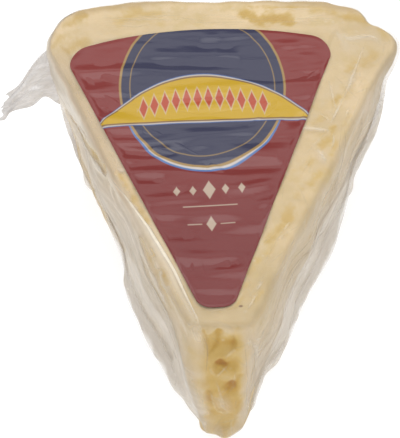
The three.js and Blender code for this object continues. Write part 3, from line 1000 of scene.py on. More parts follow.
# Path, half width, clearness.
WINDOWS = [
    (walls(-1, (80, 28.6), (71.5, 33.4), (66, 36.0), (60, 38.8), (54.8, 41.3), (49.4, 42.3)), 1.5, 0.9),
    (tops((-22.6, -6.4), (-20.2, -9.2), (-17.9, -15.0), (-15.5, -20.3)), 0.8, 0.75),
    (tops((-16.8, -24.4), (-13.9, -31.0), (-11.4, -37.0)), 0.8, 0.75),
    (walls(-1, (26.0, 42.6), (19.0, 42.6), (11.0, 41.0), (3.0, 40.0)), 1.9, 0.7),
    (walls(-1, (10.0, 35.0), (3.0, 33.0)), 4.5, 0.5),
    (walls(-1, (26.0, 34.0), (14.0, 33.0)), 3.2, 0.5),
    (walls(-1, (88.0, 24.0), (86.0, 10.0), (76.0, 5.0), (62.0, 3.0)), 3.0, 0.75),
    (noses((1.1, 44.0), (1.1, 12.0)), 4.3, 0.85),
    (noses((-0.2, 8.0), (-0.2, 2.0)), 3.6, 0.6),
]

# %% Height and haze of the creases
CREASE_TAPER, CREASE_HAZE_SPREAD = 0.6, 1.4


def end_taper(share, power, margin=0.0):
    """Half a sine wave along a path's share, to a power; the margin keeps its ends from
    coming to nothing."""
    return np.sin(math.pi * np.clip(share, margin, 1 - margin)) ** power


def crease_fields(points, creases):
    """Height and haze of creases: a narrow bell across each path, tapered at its ends."""
    height = np.zeros(len(points))
    haze = np.zeros(len(points))
    for path, tall, half_width, milk in creases:
        near = near_path(points, path, 4 * half_width)
        away, share = path_distance(points[near], path)
        taper = end_taper(share, CREASE_TAPER, margin=0.02)
        hazy = milk * taper * bell(away, half_width * CREASE_HAZE_SPREAD)
        height[near] = np.maximum(height[near], tall * taper * bell(away, half_width))
        haze[near] = np.maximum(haze[near], hazy)
    return height, haze


laid_height, laid_haze = crease_fields(spots, CREASES)
print("creases:", len(CREASES), " points that they make hazy:", int((laid_haze > 0.1).sum()))

# %% Clearness of the windows
WINDOW_EDGE = 0.6, 1.3


def clearness(points, windows):
    """How clear the film is made by its windows, from 0 to 1, with ragged edges."""
    ragged = 0.35 * unevenness(points, 4.0, seed=44) + 0.2 * unevenness(points, 1.6, seed=45)
    inner, outer = WINDOW_EDGE
    clear = np.zeros(len(points))
    for path, half_width, share in windows:
        near = near_path(points, path, 2 * half_width + 1)
        away, _ = path_distance(points[near], path)
        outside = smooth_rise(away + ragged[near], inner * half_width, outer * half_width)
        clear[near] = np.maximum(clear[near], share * (1 - outside))
    return clear


clear = clearness(spots, WINDOWS)
print("windows:", len(WINDOWS), " points that they clear:", int((clear > 0.4).sum()))

# %% [markdown]
# Away from creases the film's clearness depends on its grip. On the top it lies close and
# is nearly invisible, but for a doubled strip along the left edge. The left wall carries
# the doubled film of the seam and is milky all over, most of all in the veil that runs out
# into the ear; the right wall turns milky only towards its foot and where the film bulges.
# Under the pack the film is gathered, and so milky that no light comes up through it.
#
# A second mark darkens the film's own colour with painted shade: on the walls, near the frills' grips,
# along the flat folds and beside the top's left edge.

# %% Haze of the film
FACE_HAZE = dict(
    # Plain haze, then the share of what grows down the wall, of streaks and of clouds.
    left=(0.50, 0.12, 0.07, 0.05),
    right=(0.22, 0.30, 0.07, 0.05),
    back=(0.24, 0, 0.10, 0.06),
    under=(0.70, 0, 0, 0.10),
    top=(0.09, 0, 0.03, 0),
)
FRONT_HAZE = dict(plain=0.12, left=0.10, lower_left=0.42, right=0.14)
LEFT_MARGIN_HAZE, VEIL_HAZE = 0.26, 0.34
BULGE = dict(haze=0.32, x=40, y=33, spread=9, z=16, spread_up=13)
VEIL_EDGE = dict(along=(59, 65.7, 72, 78.9, 87.3, 94), z=(43.6, 41.6, 37.4, 32.5, 27.8, 25))
STREAK_LENGTH = 5
LEAST_HAZE = 0.03


def left_margin(points):
    """1 on the strip of the top beside the left edge, where the seam's spare film lies double, and 0
    elsewhere; it ends short of the rind and of the nose. The film there is hazier and carries painted
    shade."""
    x, y, _ = points.T
    lengthwise = smooth_rise(y, -30, -12) * (1 - smooth_rise(y, 24, 36))
    return (1 - smooth_rise(top_half_width(y) + x, 3.5, 6.5)) * lengthwise


def film_haze(points):
    """Haze of the film away from creases, face by face, broken into streaks along the pull
    by unevenness in the film's own lie. The haziest face wins where faces meet, and the
    bulge, the veil and the top's own haze are added."""
    x, y, z = points.T
    along = along_wall(points)
    low_down = smooth_rise(1 - z / PACK_HEIGHT, 0.1, 0.8)
    squeeze = 1 / LIE_SQUEEZE / STREAK_LENGTH
    streak = unevenness(lie.reshape(-1, 3) * np.array([squeeze, squeeze, 1]), 6.5, seed=51)
    cloud = unevenness(points, 14, seed=52)

    def face(name):
        plain, lower, streaks, clouds = FACE_HAZE[name]
        return plain + lower * low_down + streaks * streak + clouds * cloud

    thin_foot = 0.55 + 0.45 * smooth_rise(z, 0, 4)
    past_nose = smooth_rise(along + 0.4 * (PACK_HEIGHT - z), 2, 20)
    left = smooth_rise(-nx, 0.08, 0.5) * face("left") * thin_foot * (0.42 + 0.58 * past_nose)
    right = smooth_rise(nx, 0.08, 0.5) * face("right") * thin_foot
    right = right * (0.60 + 0.40 * smooth_rise(along, 3, 18))
    lower_left = smooth_rise(-x, 0.0, 4.5) * smooth_rise(24 - z, 0, 18)
    front = FRONT_HAZE["plain"] + FRONT_HAZE["left"] * smooth_rise(-x, 1.6, 5.0)
    front = front + FRONT_HAZE["lower_left"] * lower_left
    front = NOSE * (front + FRONT_HAZE["right"] * smooth_rise(x, 3.6, 6.5))
    under = smooth_rise(-nz, 0.3, 0.8) * face("under")
    from_bulge = np.hypot(x - BULGE["x"], y - BULGE["y"])
    bulge = BULGE["haze"] * RIGHT * bell(from_bulge, BULGE["spread"])
    bulge = bulge * bell(z - BULGE["z"], BULGE["spread_up"])
    over_edge = z - np.interp(along, VEIL_EDGE["along"], VEIL_EDGE["z"])
    veil = VEIL_HAZE * LEFT * smooth_rise(along, 58, 66) * smooth_rise(over_edge, -0.4, 0.8)
    top = UP * (face("top") + LEFT_MARGIN_HAZE * left_margin(points))
    beside = 1 - smooth_rise(nz, 0.62, 0.985)
    haziest = np.maximum.reduce([left, right, front, RIND * face("back"), under])
    return np.clip(haziest * beside + bulge + veil + top, LEAST_HAZE, 0.9)


# %% Shape of the film
FILM_FOLLOW, EDGE_BUMPS = 0.3, 0.55
FILM_SHADE = dict(left_margin=0.6, left=0.3, right=0.28, right_rind=0.14)

small = 0.07 * unevenness(spots, 8, seed=53) + 0.03 * unevenness(spots, 3.2, seed=54)
followed = FILM_FOLLOW * (hollow + 0.5 * tear + scoop) * (1 - covered)
rise = laid_height * (1 - covered) + small * grounded * (1 - 0.7 * covered)
rise = rise + (soft - followed) * grounded - LABEL_ROOM * well_covered
rise = rise + EDGE_BUMPS * unevenness(spots, 6.5, seed=55) * (LEFT + RIGHT) * bell(spots[:, 2] - 3, 5)
film_grid = pack + pack_normal * rise.reshape(grid_shape)[..., None]
film_grid[..., 2] = np.maximum(film_grid[..., 2], 0.0)
haze = np.clip(film_haze(spots) * (1 - clear) + 0.8 * laid_haze, LEAST_HAZE, 0.95)
# Painted shade on the film: on both walls, more on the right wall away from the nose, and on the strip
# of the top beside the left edge.
shaded = FILM_SHADE["left_margin"] * left_margin(spots) * UP + FILM_SHADE["left"] * LEFT
shaded = shaded + RIGHT * (FILM_SHADE["right"] + FILM_SHADE["right_rind"] * off_nose)
film = ring_piece("film", film_grid, {
    "haze": haze.reshape(grid_shape),
    "shaded": shaded.reshape(grid_shape),
    "lie": lie * MM,
})

# %% [markdown]
# Clear film hardly has a colour of its own. What shows is its gloss, and the whitish haze of small
# creases and double layers. So its haze mark goes into Alpha, with finer streaks from noise on its lie,
# and its own colour is a warm white that its painted shade mark turns tan. The same finish, a little
# lighter or smoother, serves every piece of the bag.

# %% Finish of the film
# The tan of painted shade on the film.
SHADED_FILM = ink(0.54, 0.41, 0.275)


def film_finish(name, light_tint, bump_strength):
    recipe = Recipe(name)
    place = recipe.place()
    lie_here = recipe.mark("lie", output="Vector")
    haze_here = recipe.mark("haze")
    shade_here = recipe.mark("shaded")
    streak = recipe.noise(lie_here, 520, detail=5, roughness=0.6)
    cloudy = recipe.noise(place, 190, detail=4, roughness=0.6)
    alpha = haze_here * (0.48 + 0.66 * streak + 0.38 * cloudy)
    crinkle = recipe.bump(streak * 0.7 + cloudy * 0.3, 0.0006, bump_strength)
    return recipe.finish(Base_Color=recipe.blend(shade_here, light_tint, SHADED_FILM),
                         Roughness=0.22 + 0.18 * haze_here, Normal=crinkle,
                         Alpha=alpha.most(0.02).least(0.96), Specular_IOR_Level=0.5)


film.data.materials.append(film_finish("clear_film", ink(0.88, 0.81, 0.69), 0.3))

# %% [markdown]
# Where two creases press together, or a crease was pressed flat, there is a fold: a hard thin line,
# bright where it stands up, and where it lies flat over the cheese a dark line of painted shade. Folds
# are too fine for the film's own grid, so they are a piece of their own, a bundle of slim tubes. Each
# follows a path, eased at its corners and laid on the film, and thins out to a point at both ends.

# %% Listed folds
BRIGHT_FOLDS = [
    # path, half width, height, haze
    (walls(-1, (48.5, 43.2)) + tops((-20.7, -13.5), (-15.5, -22.3), (-9.4, -34.6), (-4.1, -47.9))
     + noses((-3.6, 42.6)), 0.40, 0.36, 2.1),
    (walls(-1, (87.3, 28.2), (78.9, 32.9), (65.7, 42.1), (61, 43.6)), 0.22, 0.25, 0.55),
    (walls(-1, (57.2, 36.5), (53, 39.0), (49, 41.3)), 0.30, 0.25, 0.6),
    (tops((-4.4, -47.8), (-2.9, -47.7), (-1.3, -47.5), (0.7, -47.7)) + noses((2.9, 44), (3.5, 41.6)),
     0.34, 0.2, 0.2),
    (noses((1.0, 32.7), (2.2, 35.2), (3.8, 37.4)), 0.34, 0.25, 0.36),
    (noses((-2.4, 31.4), (-1.8, 28.4), (-0.6, 26.6)), 0.26, 0.2, 0.25),
    (noses((-1.0, 26.4), (0.6, 15.0), (2.5, 11.8)), 0.22, 0.2, 0.40),
    (noses((-0.7, 19.7), (0.4, 14.0), (2.1, 9.3)), 0.20, 0.2, 0.36),
    (noses((-1.7, 12.6), (2.1, 8.5)), 0.22, 0.2, 0.40),
    (noses((-2.2, 22.0), (-1.6, 15.0), (-0.4, 10.0)), 0.22, 0.2, 0.30),
    (noses((6.1, 41.0)) + walls(1, (1.4, 36.6), (5.9, 27.3), (9.0, 18.0)), 0.26, 0.25, 0.55),
    (walls(1, (1.6, 38.4), (5.0, 34.0), (9.4, 33.4)), 0.24, 0.25, 0.5),
    (walls(1, (9.4, 33.4), (7.4, 29.0), (6.6, 22.0)), 0.20, 0.2, 0.5),
    (tops((34.3, 32.9), (33.5, 31.1), (31.8, 25.8), (29.9, 19.2), (28.9, 16.8), (27.8, 13.9)),
     0.26, 0.25, 0.7),
    (tops((25.1, 21.6), (25.7, 18.4), (26.2, 14.9), (26.9, 11.3)), 0.22, 0.22, 0.6),
    (tops((28.4, 15.6), (27.4, 13.2), (25.9, 9.6), (25.1, 7.8)), 0.26, 0.25, 0.75),
    (tops((29.7, 13.2), (28.6, 9.5)), 0.20, 0.2, 0.5),
    (tops((19.3, 7.2), (21.0, 6.9), (23.2, 6.4), (25.3, 5.7)), 0.26, 0.22, 0.45),
    (tops((25.7, 5.5), (25.9, 2.2), (25.0, -0.1)), 0.22, 0.22, 0.55),
    (tops((21.9, 0.5), (23.0, -1.6), (24.1, -3.9)), 0.24, 0.22, 0.6),
    (tops((22.6, 11.6), (24.4, 10.0), (25.4, 8.2)), 0.18, 0.2, 0.4),
    (tops((15.7, -20.3), (13.7, -23.3)), 0.24, 0.22, 0.6),
    (tops((9.6, -36.4), (7.6, -39.8)), 0.26, 0.25, 0.7),
    (tops((8.2, -39.7), (5.9, -44.8)), 0.24, 0.22, 0.6),
    (tops((10, 45.0), (19, 44.6), (28, 44.0)), 0.15, 0.1, 0.2),
    (tops((31.0, 35.0), (34.0, 35.6), (37.0, 35.0), (38.0, 32.6)), 0.22, 0.2, 0.5),
    (walls(1, (86, 38), (86.6, 30), (85, 21), (79, 14)), 0.30, 0.3, 0.6),
    (walls(1, (73, 42), (72, 36), (70, 28.5), (61.2, 25.8)), 0.26, 0.25, 0.5),
]

# Folds that lie flat over the cheese; their darkness is painted shade.
SHADED_FOLDS = [
    # path, half width, haze
    (tops((27.9, 8.9), (27.0, 0.2))
     + walls(1, (56.4, 25.1), (50.4, 21), (40, 26), (30.2, 31.7), (22.6, 32.3), (14.9, 30.8),
             (14.6, 17.8)), 0.20, 0.75),
    (tops((28.4, 7.7)) + walls(1, (54.3, 43.1), (54.2, 31.9), (53.8, 23.2)), 0.20, 0.7),
    (walls(1, (52.0, 40.0), (53.0, 31.2), (53.9, 21.6), (51.7, 15.8)), 0.18, 0.6),
    (walls(1, (58.1, 34.6), (60.8, 19.6), (55.2, 13.9), (37.4, 23.9), (29.6, 25.4), (23.1, 25.0),
           (19.5, 22.1)), 0.20, 0.7),
    (tops((31.9, 13.9)) + walls(1, (70.9, 33.3), (67.4, 28.7), (62, 20)), 0.18, 0.6),
    (walls(1, (48, 33), (42, 24), (34, 19.5), (26, 19)), 0.16, 0.5),
    (walls(1, (44, 38), (38, 33), (32, 35), (24, 36.5), (16, 35.5)), 0.16, 0.45),
    (walls(1, (40, 29), (33, 28.4), (26, 29), (18, 27.5)), 0.16, 0.5),
    (walls(1, (30, 22), (22, 20), (14, 14.5), (8, 12)), 0.18, 0.55),
    (walls(1, (24, 16), (17, 11), (10, 8)), 0.18, 0.5),
    (noses((-3.6, 43.0), (-2.4, 36.4), (-2.7, 32.8), (-3.0, 28.0)), 0.22, 0.35),
    (noses((5.4, 40.5), (5.8, 31.7)) + walls(1, (1, 22.8), (2, 8.6)), 0.20, 0.35),
    (walls(-1, (40, 36), (30, 32), (20, 28), (10, 25)), 0.18, 0.4),
    (walls(-1, (30, 23), (20, 19), (10, 17), (2, 20)), 0.18, 0.45),
    (walls(-1, (22, 11), (14, 13.6), (6, 18)), 0.18, 0.5),
    (walls(-1, (71.6, 21.1), (66, 11), (60.3, 6)), 0.18, 0.4),
    (tops((-3.4, -43.6), (-2.4, -44.7), (-0.6, -45.0), (1.2, -44.4), (2.2, -43.0)), 0.18, 0.6),
]

# %% [markdown]
# The many small folds between those have no places of their own. Each kind of place has a
# maker of straight paths with a small random turn, and a table says how many folds of each
# kind there are and between what limits their measures lie. One seeded generator draws
# them all, in the table's order.

# %% Small folds, scattered
def wall_fold(random, side, along, z, length):
    """Runs lengthwise along a wall, over three points that wander a little in height."""
    turn = random.normal(0, 0.12)
    lengthwise = np.array([-0.5, 0, 0.5]) * length
    heights = np.clip(z + lengthwise * turn + random.normal(0, 0.4, 3), 1.5, 43)
    return walls(side, *zip(np.clip(along + lengthwise, 1, 97), heights))


def nose_fold(random, _, x, z, length):
    """Runs up the nose, leaning mostly to the right."""
    turn = random.normal(0.4, 0.8)
    return noses(*((x + part * math.sin(turn), np.clip(z + part * math.cos(turn), 1, 44))
                   for part in (-0.5 * length, 0.5 * length)))


def rind_fold(random, _, x, y, length):
    """Runs across the top beside the rind, with a small kink halfway."""
    return tops((x - length / 2, y), (x, y + random.normal(0, 0.4)),
                (x + length / 2, y + random.normal(0, 0.6)))


def margin_fold(random, side, along, inward, length):
    """Runs along the top beside a wall, so far in from the edge."""
    turn = random.normal(0, 0.45)
    path = []
    for part in (-0.5 * length, 0.5 * length):
        point = on_wall(side, along + part, PACK_HEIGHT)
        point[0] -= side * (inward + part * turn)
        path.append(point)
    return path


SCATTERED = [
    # maker, side, how many, and the limits of its two measures, its length,
    # its half width, its height and its haze
    (wall_fold, -1, 44, (4, 94), (3, 41), (6, 30), (0.12, 0.22), (0.06, 0.16), (0.15, 0.42)),
    (wall_fold, 1, 74, (4, 94), (3, 41), (6, 30), (0.12, 0.22), (0.06, 0.16), (0.15, 0.42)),
    (nose_fold, 0, 16, (-5.5, 5.5), (3, 40), (2, 8), (0.12, 0.2), (0.06, 0.15), (0.15, 0.35)),
    (rind_fold, 0, 30, (-25, 25), (39, 43), (4, 13), (0.10, 0.18), (0.04, 0.1), (0.06, 0.2)),
    (margin_fold, -1, 8, (6, 90), (1, 4), (2, 9), (0.12, 0.2), (0.05, 0.12), (0.05, 0.18)),
    (margin_fold, 1, 32, (6, 90), (1, 9), (2, 9), (0.12, 0.2), (0.05, 0.12), (0.05, 0.18)),
]


def scattered_folds():
    """The small folds, each as a path, half width, height and haze."""
    random = np.random.default_rng(41)
    made = []
    for maker, side, count, *limits in SCATTERED:
        for _ in range(count):
            path = maker(random, side, *(random.uniform(*ends) for ends in limits[:3]))
            made.append((path, *(random.uniform(*ends) for ends in limits[3:])))
    return made


small_folds = scattered_folds()
print("folds:", len(BRIGHT_FOLDS), "bright,", len(SHADED_FOLDS), "dull and", len(small_folds), "small")

# %% Paths laid on the film
FOLD_STEP, FOLD_EASE = 0.55, 5
TOUCH, FOLD_REACH = 0.8, 4
film_spots = film_grid.reshape(-1, 3)
film_facing = pack_normal.reshape(-1, 3)


def eased_line(path):
    """Even steps along a path, whose corners a running mean with soft ends rounds off."""
    path = np.asarray(path)
    spans = np.linalg.norm(np.diff(path, axis=0), axis=1)
    way = np.concatenate([[0], np.cumsum(spans)])
    steps = np.linspace(0, way[-1], max(int(way[-1] / FOLD_STEP), 6))
    line = np.stack([np.interp(steps, way, axis) for axis in path.T], axis=1)
    reach = min(FOLD_EASE, len(line) // 3)
    share = np.hanning(2 * reach + 3)[1:-1]
    padded = np.pad(line, ((reach, reach), (0, 0)), mode="edge")
    return np.stack([np.convolve(axis, share / share.sum(), "valid") for axis in padded.T], axis=1)


def laid_on_film(line):
    """Moves a line onto the film: each point goes along the mean normal of the film's
    points close by, as far as their mean plane. Gives the normals too."""
    near = near_path(film_spots, line, FOLD_REACH)
    apart = ((line[:, None] - film_spots[near]) ** 2).sum(axis=2)
    weight = np.exp((apart.min(axis=1)[:, None] - apart) / TOUCH ** 2)
    weight /= weight.sum(axis=1)[:, None]
    facing = weight @ film_facing[near]
    facing /= np.linalg.norm(facing, axis=1)[:, None]
    away = ((weight @ film_spots[near] - line) * facing).sum(axis=1)
    return line + facing * away[:, None], facing


trial, _ = laid_on_film(eased_line(BRIGHT_FOLDS[0][0]))
print("the first fold has", len(trial), "steps and lies between", trial[:, 2].min().round(1), "and",
      trial[:, 2].max().round(1), "mm up")

# %% Shape of the folds
FOLD_TAPER = 0.8
FOLD_RING = np.array([
    # across, up, share of the haze
    [1, 0, 0], [0.45, 0.75, 0.8], [0, 1, 1], [-0.45, 0.75, 0.8], [-1, 0, 0], [0, -0.4, 0],
])
BRIGHT_FOLD = dict(wide=1.6, tall=0.6, haze=0.42)
SHADED_FOLD = dict(tall=0.12, haze=0.65)


def fold_rings(path, half_width, tall):
    """Rings of a tube along a path: across by up, each times the taper towards its ends,
    and nothing under the label."""
    line, facing = laid_on_film(eased_line(path))
    heading = np.gradient(line, axis=0)
    side = np.cross(facing, heading)
    side /= np.linalg.norm(side, axis=1)[:, None]
    taper = end_taper(np.linspace(0, 1, len(line)), FOLD_TAPER, margin=0.01)
    taper = taper * np.where(line[:, 2] > PACK_HEIGHT - TOP_EDGE, 1 - under_label(line)[0], 1)
    across = side[:, None] * FOLD_RING[None, :, :1] * half_width
    up = facing[:, None] * FOLD_RING[None, :, 1:2] * tall
    return line[:, None] + (across + up) * taper[:, None, None], taper[:, None] * FOLD_RING[:, 2]


def fold_piece(name, folds):
    """All the folds as one piece. A fold is a path, half width, height, haze and painted shade."""
    points, faces, haze_parts, shade_parts = [], [], [], []
    start = 0
    for path, half_width, tall, milk, shading in folds:
        rings, strength = fold_rings(path, half_width, tall)
        tube = np.concatenate([rings[0].mean(axis=0)[None], rings.reshape(-1, 3),
                               rings[-1].mean(axis=0)[None]])
        points.append(tube)
        faces += ring_faces(*rings.shape[:2], start=start)
        haze_parts.append(np.pad(strength.ravel() * milk, 1))
        shade_parts.append(np.full(len(tube), shading))
        start += len(tube)
    points = np.concatenate(points)
    marks = {"haze": np.concatenate(haze_parts), "shaded": np.concatenate(shade_parts), "lie": points * MM}
    return mesh_piece(name, points, faces, marks)


folds = [(path, BRIGHT_FOLD["wide"] * half_width, BRIGHT_FOLD["tall"] * tall,
          BRIGHT_FOLD["haze"] * milk, 0.0)
         for path, half_width, tall, milk in BRIGHT_FOLDS + small_folds]
# The flat folds take the full painted shade.
folds += [(path, half_width, SHADED_FOLD["tall"], SHADED_FOLD["haze"] * milk, 1.0)
          for path, half_width, milk in SHADED_FOLDS]
folded = fold_piece("film_folds", folds)
folded.data.materials.append(film_finish("hard_folds", ink(0.88, 0.81, 0.68), 0.1))
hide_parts("sealed_wedge")

# %% [markdown]
# ## Seams and ear
#
# The bag was sealed along its sides, and the spare film was folded down along the foot of
# both walls. It stands off as a thin milky frill, whose folds run along the wall. Its haze
# fades towards both ends and towards its free edge, so that no hard line shows where it
# starts. At the left rind corner the frill was torn, and its end sticks out as an ear.

# %% Frills along the foot of the walls
FRILL_THICKNESS, FRILL_GAP = 0.12, 0.20
FRILL_COLUMNS, FRILL_ROWS, FRILL_BLUR = 200, 30, 25
FRILLS = {
    # The grip is where the frill leaves the skin, and the edge is its free edge, both as
    # heights at places along the wall.
    "left_frill": dict(side=-1, seed=61, stand=0.5, milk=0.46, fade=5,
                       along=(5, 10, 16, 24, 34, 44, 52, 60, 68),
                       grip=(9, 12, 12, 13, 14, 14, 13, 12, 12),
                       edge=(4.5, 3.0, 1.6, 1.5, 1.0, 1.8, 1.2, 1.6, 4.0)),
    "right_frill": dict(side=1, seed=71, stand=0.4, milk=0.42, fade=20,
                        along=(6, 10, 16, 26, 34, 44, 54, 62, 72, 84, 93),
                        grip=(7, 8, 9, 10, 11, 13, 15, 18, 20, 22, 21),
                        edge=(3.5, 2.0, 4.5, 2.5, 1.6, 3.2, 1.2, 0.8, 1.6, 5.0, 9.0)),
}


def frill_grid(side, seed, stand, milk, fade, along, grip, edge):
    """Columns run along the wall and rows from the grip down to the free edge. At the grip
    the sheet lies close on the film; on the way down it comes off it a little and waves,
    more the nearer it is to its edge."""
    run = np.linspace(along[0], along[-1], FRILL_COLUMNS)
    down = np.linspace(0, 1, FRILL_ROWS)[:, None]
    share = np.hanning(FRILL_BLUR) / np.hanning(FRILL_BLUR).sum()

    def blurred(line):
        padded = np.pad(np.interp(run, along, line), FRILL_BLUR // 2, mode="edge")
        return np.convolve(padded, share, "valid")

    z = blurred(grip) * (1 - down) + blurred(edge) * down
    (x0, y0), (x1, y1) = wall_ends(z)
    x = side * (x0 + (x1 - x0) * run / WALL_LENGTH)
    y = y0 + (y1 - y0) * run / WALL_LENGTH
    lengthwise = np.stack([run + 0 * z, 0 * z, z], axis=2).reshape(-1, 3)

    def drawn(pitch, number, stretch):
        return unevenness(lengthwise, pitch, seed=seed + number,
                          stretch=(stretch, 1, 1)).reshape(z.shape)

    waves, tucks, streak = drawn(7, 1, 4.5), drawn(2.6, 2, 7), drawn(3.6, 3, 6)
    from_nose, from_rind = run - along[0], along[-1] - run
    ends = smooth_rise(from_nose, 0, 12) * smooth_rise(from_rind, 0, 5)
    loose = smooth_rise(down, 0.0, 0.8) * ends
    held = wall_swell(x, y, np.full(z.shape, -0.4), z)
    off = held + FRILL_GAP + loose * (stand * (0.8 + 0.4 * waves) + 0.04 * tucks)
    heading = on_wall(side, 99, 20) - on_wall(side, 0, 20)
    out = np.array([heading[1], -heading[0], 0]) * side / np.linalg.norm(heading)
    grid = np.stack([x, y, z], axis=2) + out * off[..., None]
    thin_ends = smooth_rise(from_nose, 0, 12) * smooth_rise(from_rind, 0, fade)
    full = smooth_rise(down, 0.0, 0.35) * (1 - 0.5 * smooth_rise(down, 0.55, 1.0))
    haze_here = (milk * full + 0.05 * streak) * smooth_rise(down, -0.03, 0.3)
    haze_here = haze_here * (0.1 + 0.9 * thin_ends) * (1 - 0.8 * smooth_rise(down, 0.88, 1.0))
    # Painted shade near the grip, fading towards the free edge.
    shade_here = 0.34 * (1 - smooth_rise(down, 0.35, 1.0)) + 0 * z
    lie_here = np.stack([run * LIE_SQUEEZE + 0 * z, 0 * z + 40 * side, z], axis=2)
    return grid, np.clip(haze_here, LEAST_HAZE, 0.92), shade_here, lie_here * MM


# %% Both frills
frill_finish = film_finish("folded_film", ink(0.85, 0.80, 0.725), 0.25)
for name, settings in FRILLS.items():
    grid, haze_here, shade_here, lie_here = frill_grid(**settings)
    marks = {"haze": haze_here, "shaded": shade_here, "lie": lie_here}
    piece = sheet_piece(name, grid, FRILL_THICKNESS, marks)
    piece.data.materials.append(frill_finish)
    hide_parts("sealed_wedge")

# %% The torn ear
EAR = dict(root=(-38.6, 34.6, 33.0), reach=16.2, sweep=0.42, droop=5.6, root_half=10.4, tip_half=4.4,
           thickness=0.2, tooth_count=5, tooth_depth=1.6, tear_slant=2.8, notch=3.6, sag=1.3)


def ear_grid():
    """Rows across the ear and columns from root to torn end: its half width narrows, its
    middle line droops with the square of the way out, it crumples in pleats that fan from
    the root, and the end is cut back in teeth. Its lower edge has a notch a quarter of the
    way out, and its upper edge sags further on."""
    a = np.linspace(0, 1, 70)[None, :]
    b = np.linspace(-1, 1, 60)[:, None]
    half = EAR["root_half"] + (EAR["tip_half"] - EAR["root_half"]) * smooth_rise(a * 1.3)
    zigzag = np.abs((b * EAR["tooth_count"]) % 2 - 1) + 0.4 * np.abs((b * 3.1 + 0.7) % 2 - 1)
    cut = (EAR["tooth_depth"] * zigzag + EAR["tear_slant"] * (b + 1) / 2) * a ** 3
    out = EAR["reach"] * a - cut
    pleats = 0.36 * np.sin(TURN * (b * 1.1 + 0.3)) + 0.12 * np.sin(TURN * (b * 2.6 + a * 0.8))
    x = EAR["root"][0] - out
    y = EAR["root"][1] - EAR["sweep"] * out + (0.25 + a) * pleats
    z = EAR["root"][2] + half * b - EAR["droop"] * a * a + 0.5 * a * np.sin(TURN * (a * 1.3 + b))
    z = z + EAR["notch"] * bell(a - 0.24, 0.14) * ((1 - b) / 2) ** 2
    z = z - EAR["sag"] * bell(a - 0.7, 0.3) * (1 + b) / 2
    grid = np.stack(np.broadcast_arrays(x, y, z), axis=2)
    flat = grid.reshape(-1, 3)
    grid[..., 1] += 0.14 * a * unevenness(flat, 3.8, seed=81).reshape(grid.shape[:2])
    streak = unevenness(flat, 2.2, seed=82, stretch=(3, 1, 0.7)).reshape(grid.shape[:2])
    return grid, np.clip(0.66 + 0.10 * streak + 0.1 * a, 0.4, 0.95)


grid, haze_here = ear_grid()
marks = {"haze": haze_here, "shaded": 0 * haze_here, "lie": grid * MM * (LIE_SQUEEZE, 1, 1)}
ear = sheet_piece("torn_ear", grid, EAR["thickness"], marks)
ear.data.materials.append(film_finish("torn_film", ink(0.80, 0.77, 0.75), 0.12))
for piece in (cheese, film, ear):
    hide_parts("sealed_wedge")

# %% [markdown]
# ## The label
#
# The label is a thin glossy sheet, a smaller wedge with rounder corners, turned a little
# on the pack. It was put on before the bag shrank, so it is ruffled: waves across the
# wedge, finer ones between them, and pleats, half of which are furrows. They stand out
# because one side of each looks at a lamp and the other away from it. The rim is stuck
# down, and beneath the rest the film and the cheese lie lower, so that a furrow has room.

# %% Pleats of the label
LABEL_PLAN = dict(nose_y=-41.1, nose_width=7, nose_radius=3.6,
                  rind_y=40.7, rind_width=64.6, rind_rise=5.6, rind_power=1.85, rind_radius=4)
LABEL_STEPS = dict(nose=10, nose_corner=22, wall=130, rind_corner=24, rind=110)
LABEL_LIFT, LABEL_RIM_LIFT, LABEL_THICKNESS = 0.14, 0.04, 0.12
LABEL_FOLLOW = 0.6
DEEPEST_RIM, LABEL_SINK = 0.04, 0.44
PLEAT_WIDTH, PLEAT_TAPER = 1.35, 0.5
PLEATS = [
    # path across the label, height (below 0 is a furrow)
    (((-13.5, 0.6), (-2.6, 3.2), (6.5, 4.4), (19.5, 7.4)), -0.28),
    (((-31, 12.0), (-25, 12.2)), -0.36),
    (((-27, 6.6), (-17, 6.2)), 0.28),
    (((-26, 2.6), (-17, 2.2), (-9, 2.8)), 0.2),
    (((-25.5, -0.4), (-16, -0.6), (-8, 0.0)), -0.56),
    (((-20, -8.0), (-12, -8.4)), -0.31),
    (((-32, 21.6), (-25, 22.4)), -0.28),
    (((13, -2.6), (19, -2.0)), -0.28),
    (((-5, -11.4), (7, -11.2), (14, -8.2)), 0.25),
    (((-4.6, 35.6), (0, 35.2)), 0.2),
    (((-0.4, 29.5), (5, 29.2)), 0.25),
    (((14, 31.6), (19, 31.4)), 0.2),
    (((-9, -33.2), (-3, -33.4)), -0.11),
    (((-3.4, -33.4), (5.8, -31.2)), -0.34),
    (((8, -16), (13, -15)), 0.17),
    (((-10, -21), (-2, -20)), 0.17),
    (((15, 20.6), (25, 21.4)), 0.2),
    (((14.5, 8.2), (26, 10.0)), -0.36),
]


def pleat_height(points):
    """Sum of the pleats, each a bell across its path that fades at its ends."""
    total = np.zeros(len(points))
    for path, height in PLEATS:
        away, share = path_distance(points[:, :2], path)
        total += height * bell(away, PLEAT_WIDTH) * end_taper(share, PLEAT_TAPER)
    return total


print("label:", len(PLEATS), "pleats,", sum(height < 0 for _, height in PLEATS), "of them furrows")

# %% [markdown]
# The label's rings are shares of its outline, from 0 in the middle to 1 at the rim. Two
# rises over that share say how free of the film the sheet is and how loosely it ruffles.
# Close to the rim a furrow may only be shallow, so that the film never comes through.

# %% Shape of the label
UNDER_SHARES = np.array([0.03, 0.3, 0.6, 0.8, 0.9, 0.95, 0.98, 0.997, 1.0])
UPPER_SHARES = np.concatenate([[1.0, 0.998, 0.994, 0.988], np.linspace(0.98, 0.02, 80)])
RUFFLES = [
    # height, pitch, seed, stretch across the wedge
    (0.20, 4.6, 91, 4.5),
    (0.028, 2.2, 92, 3),
]


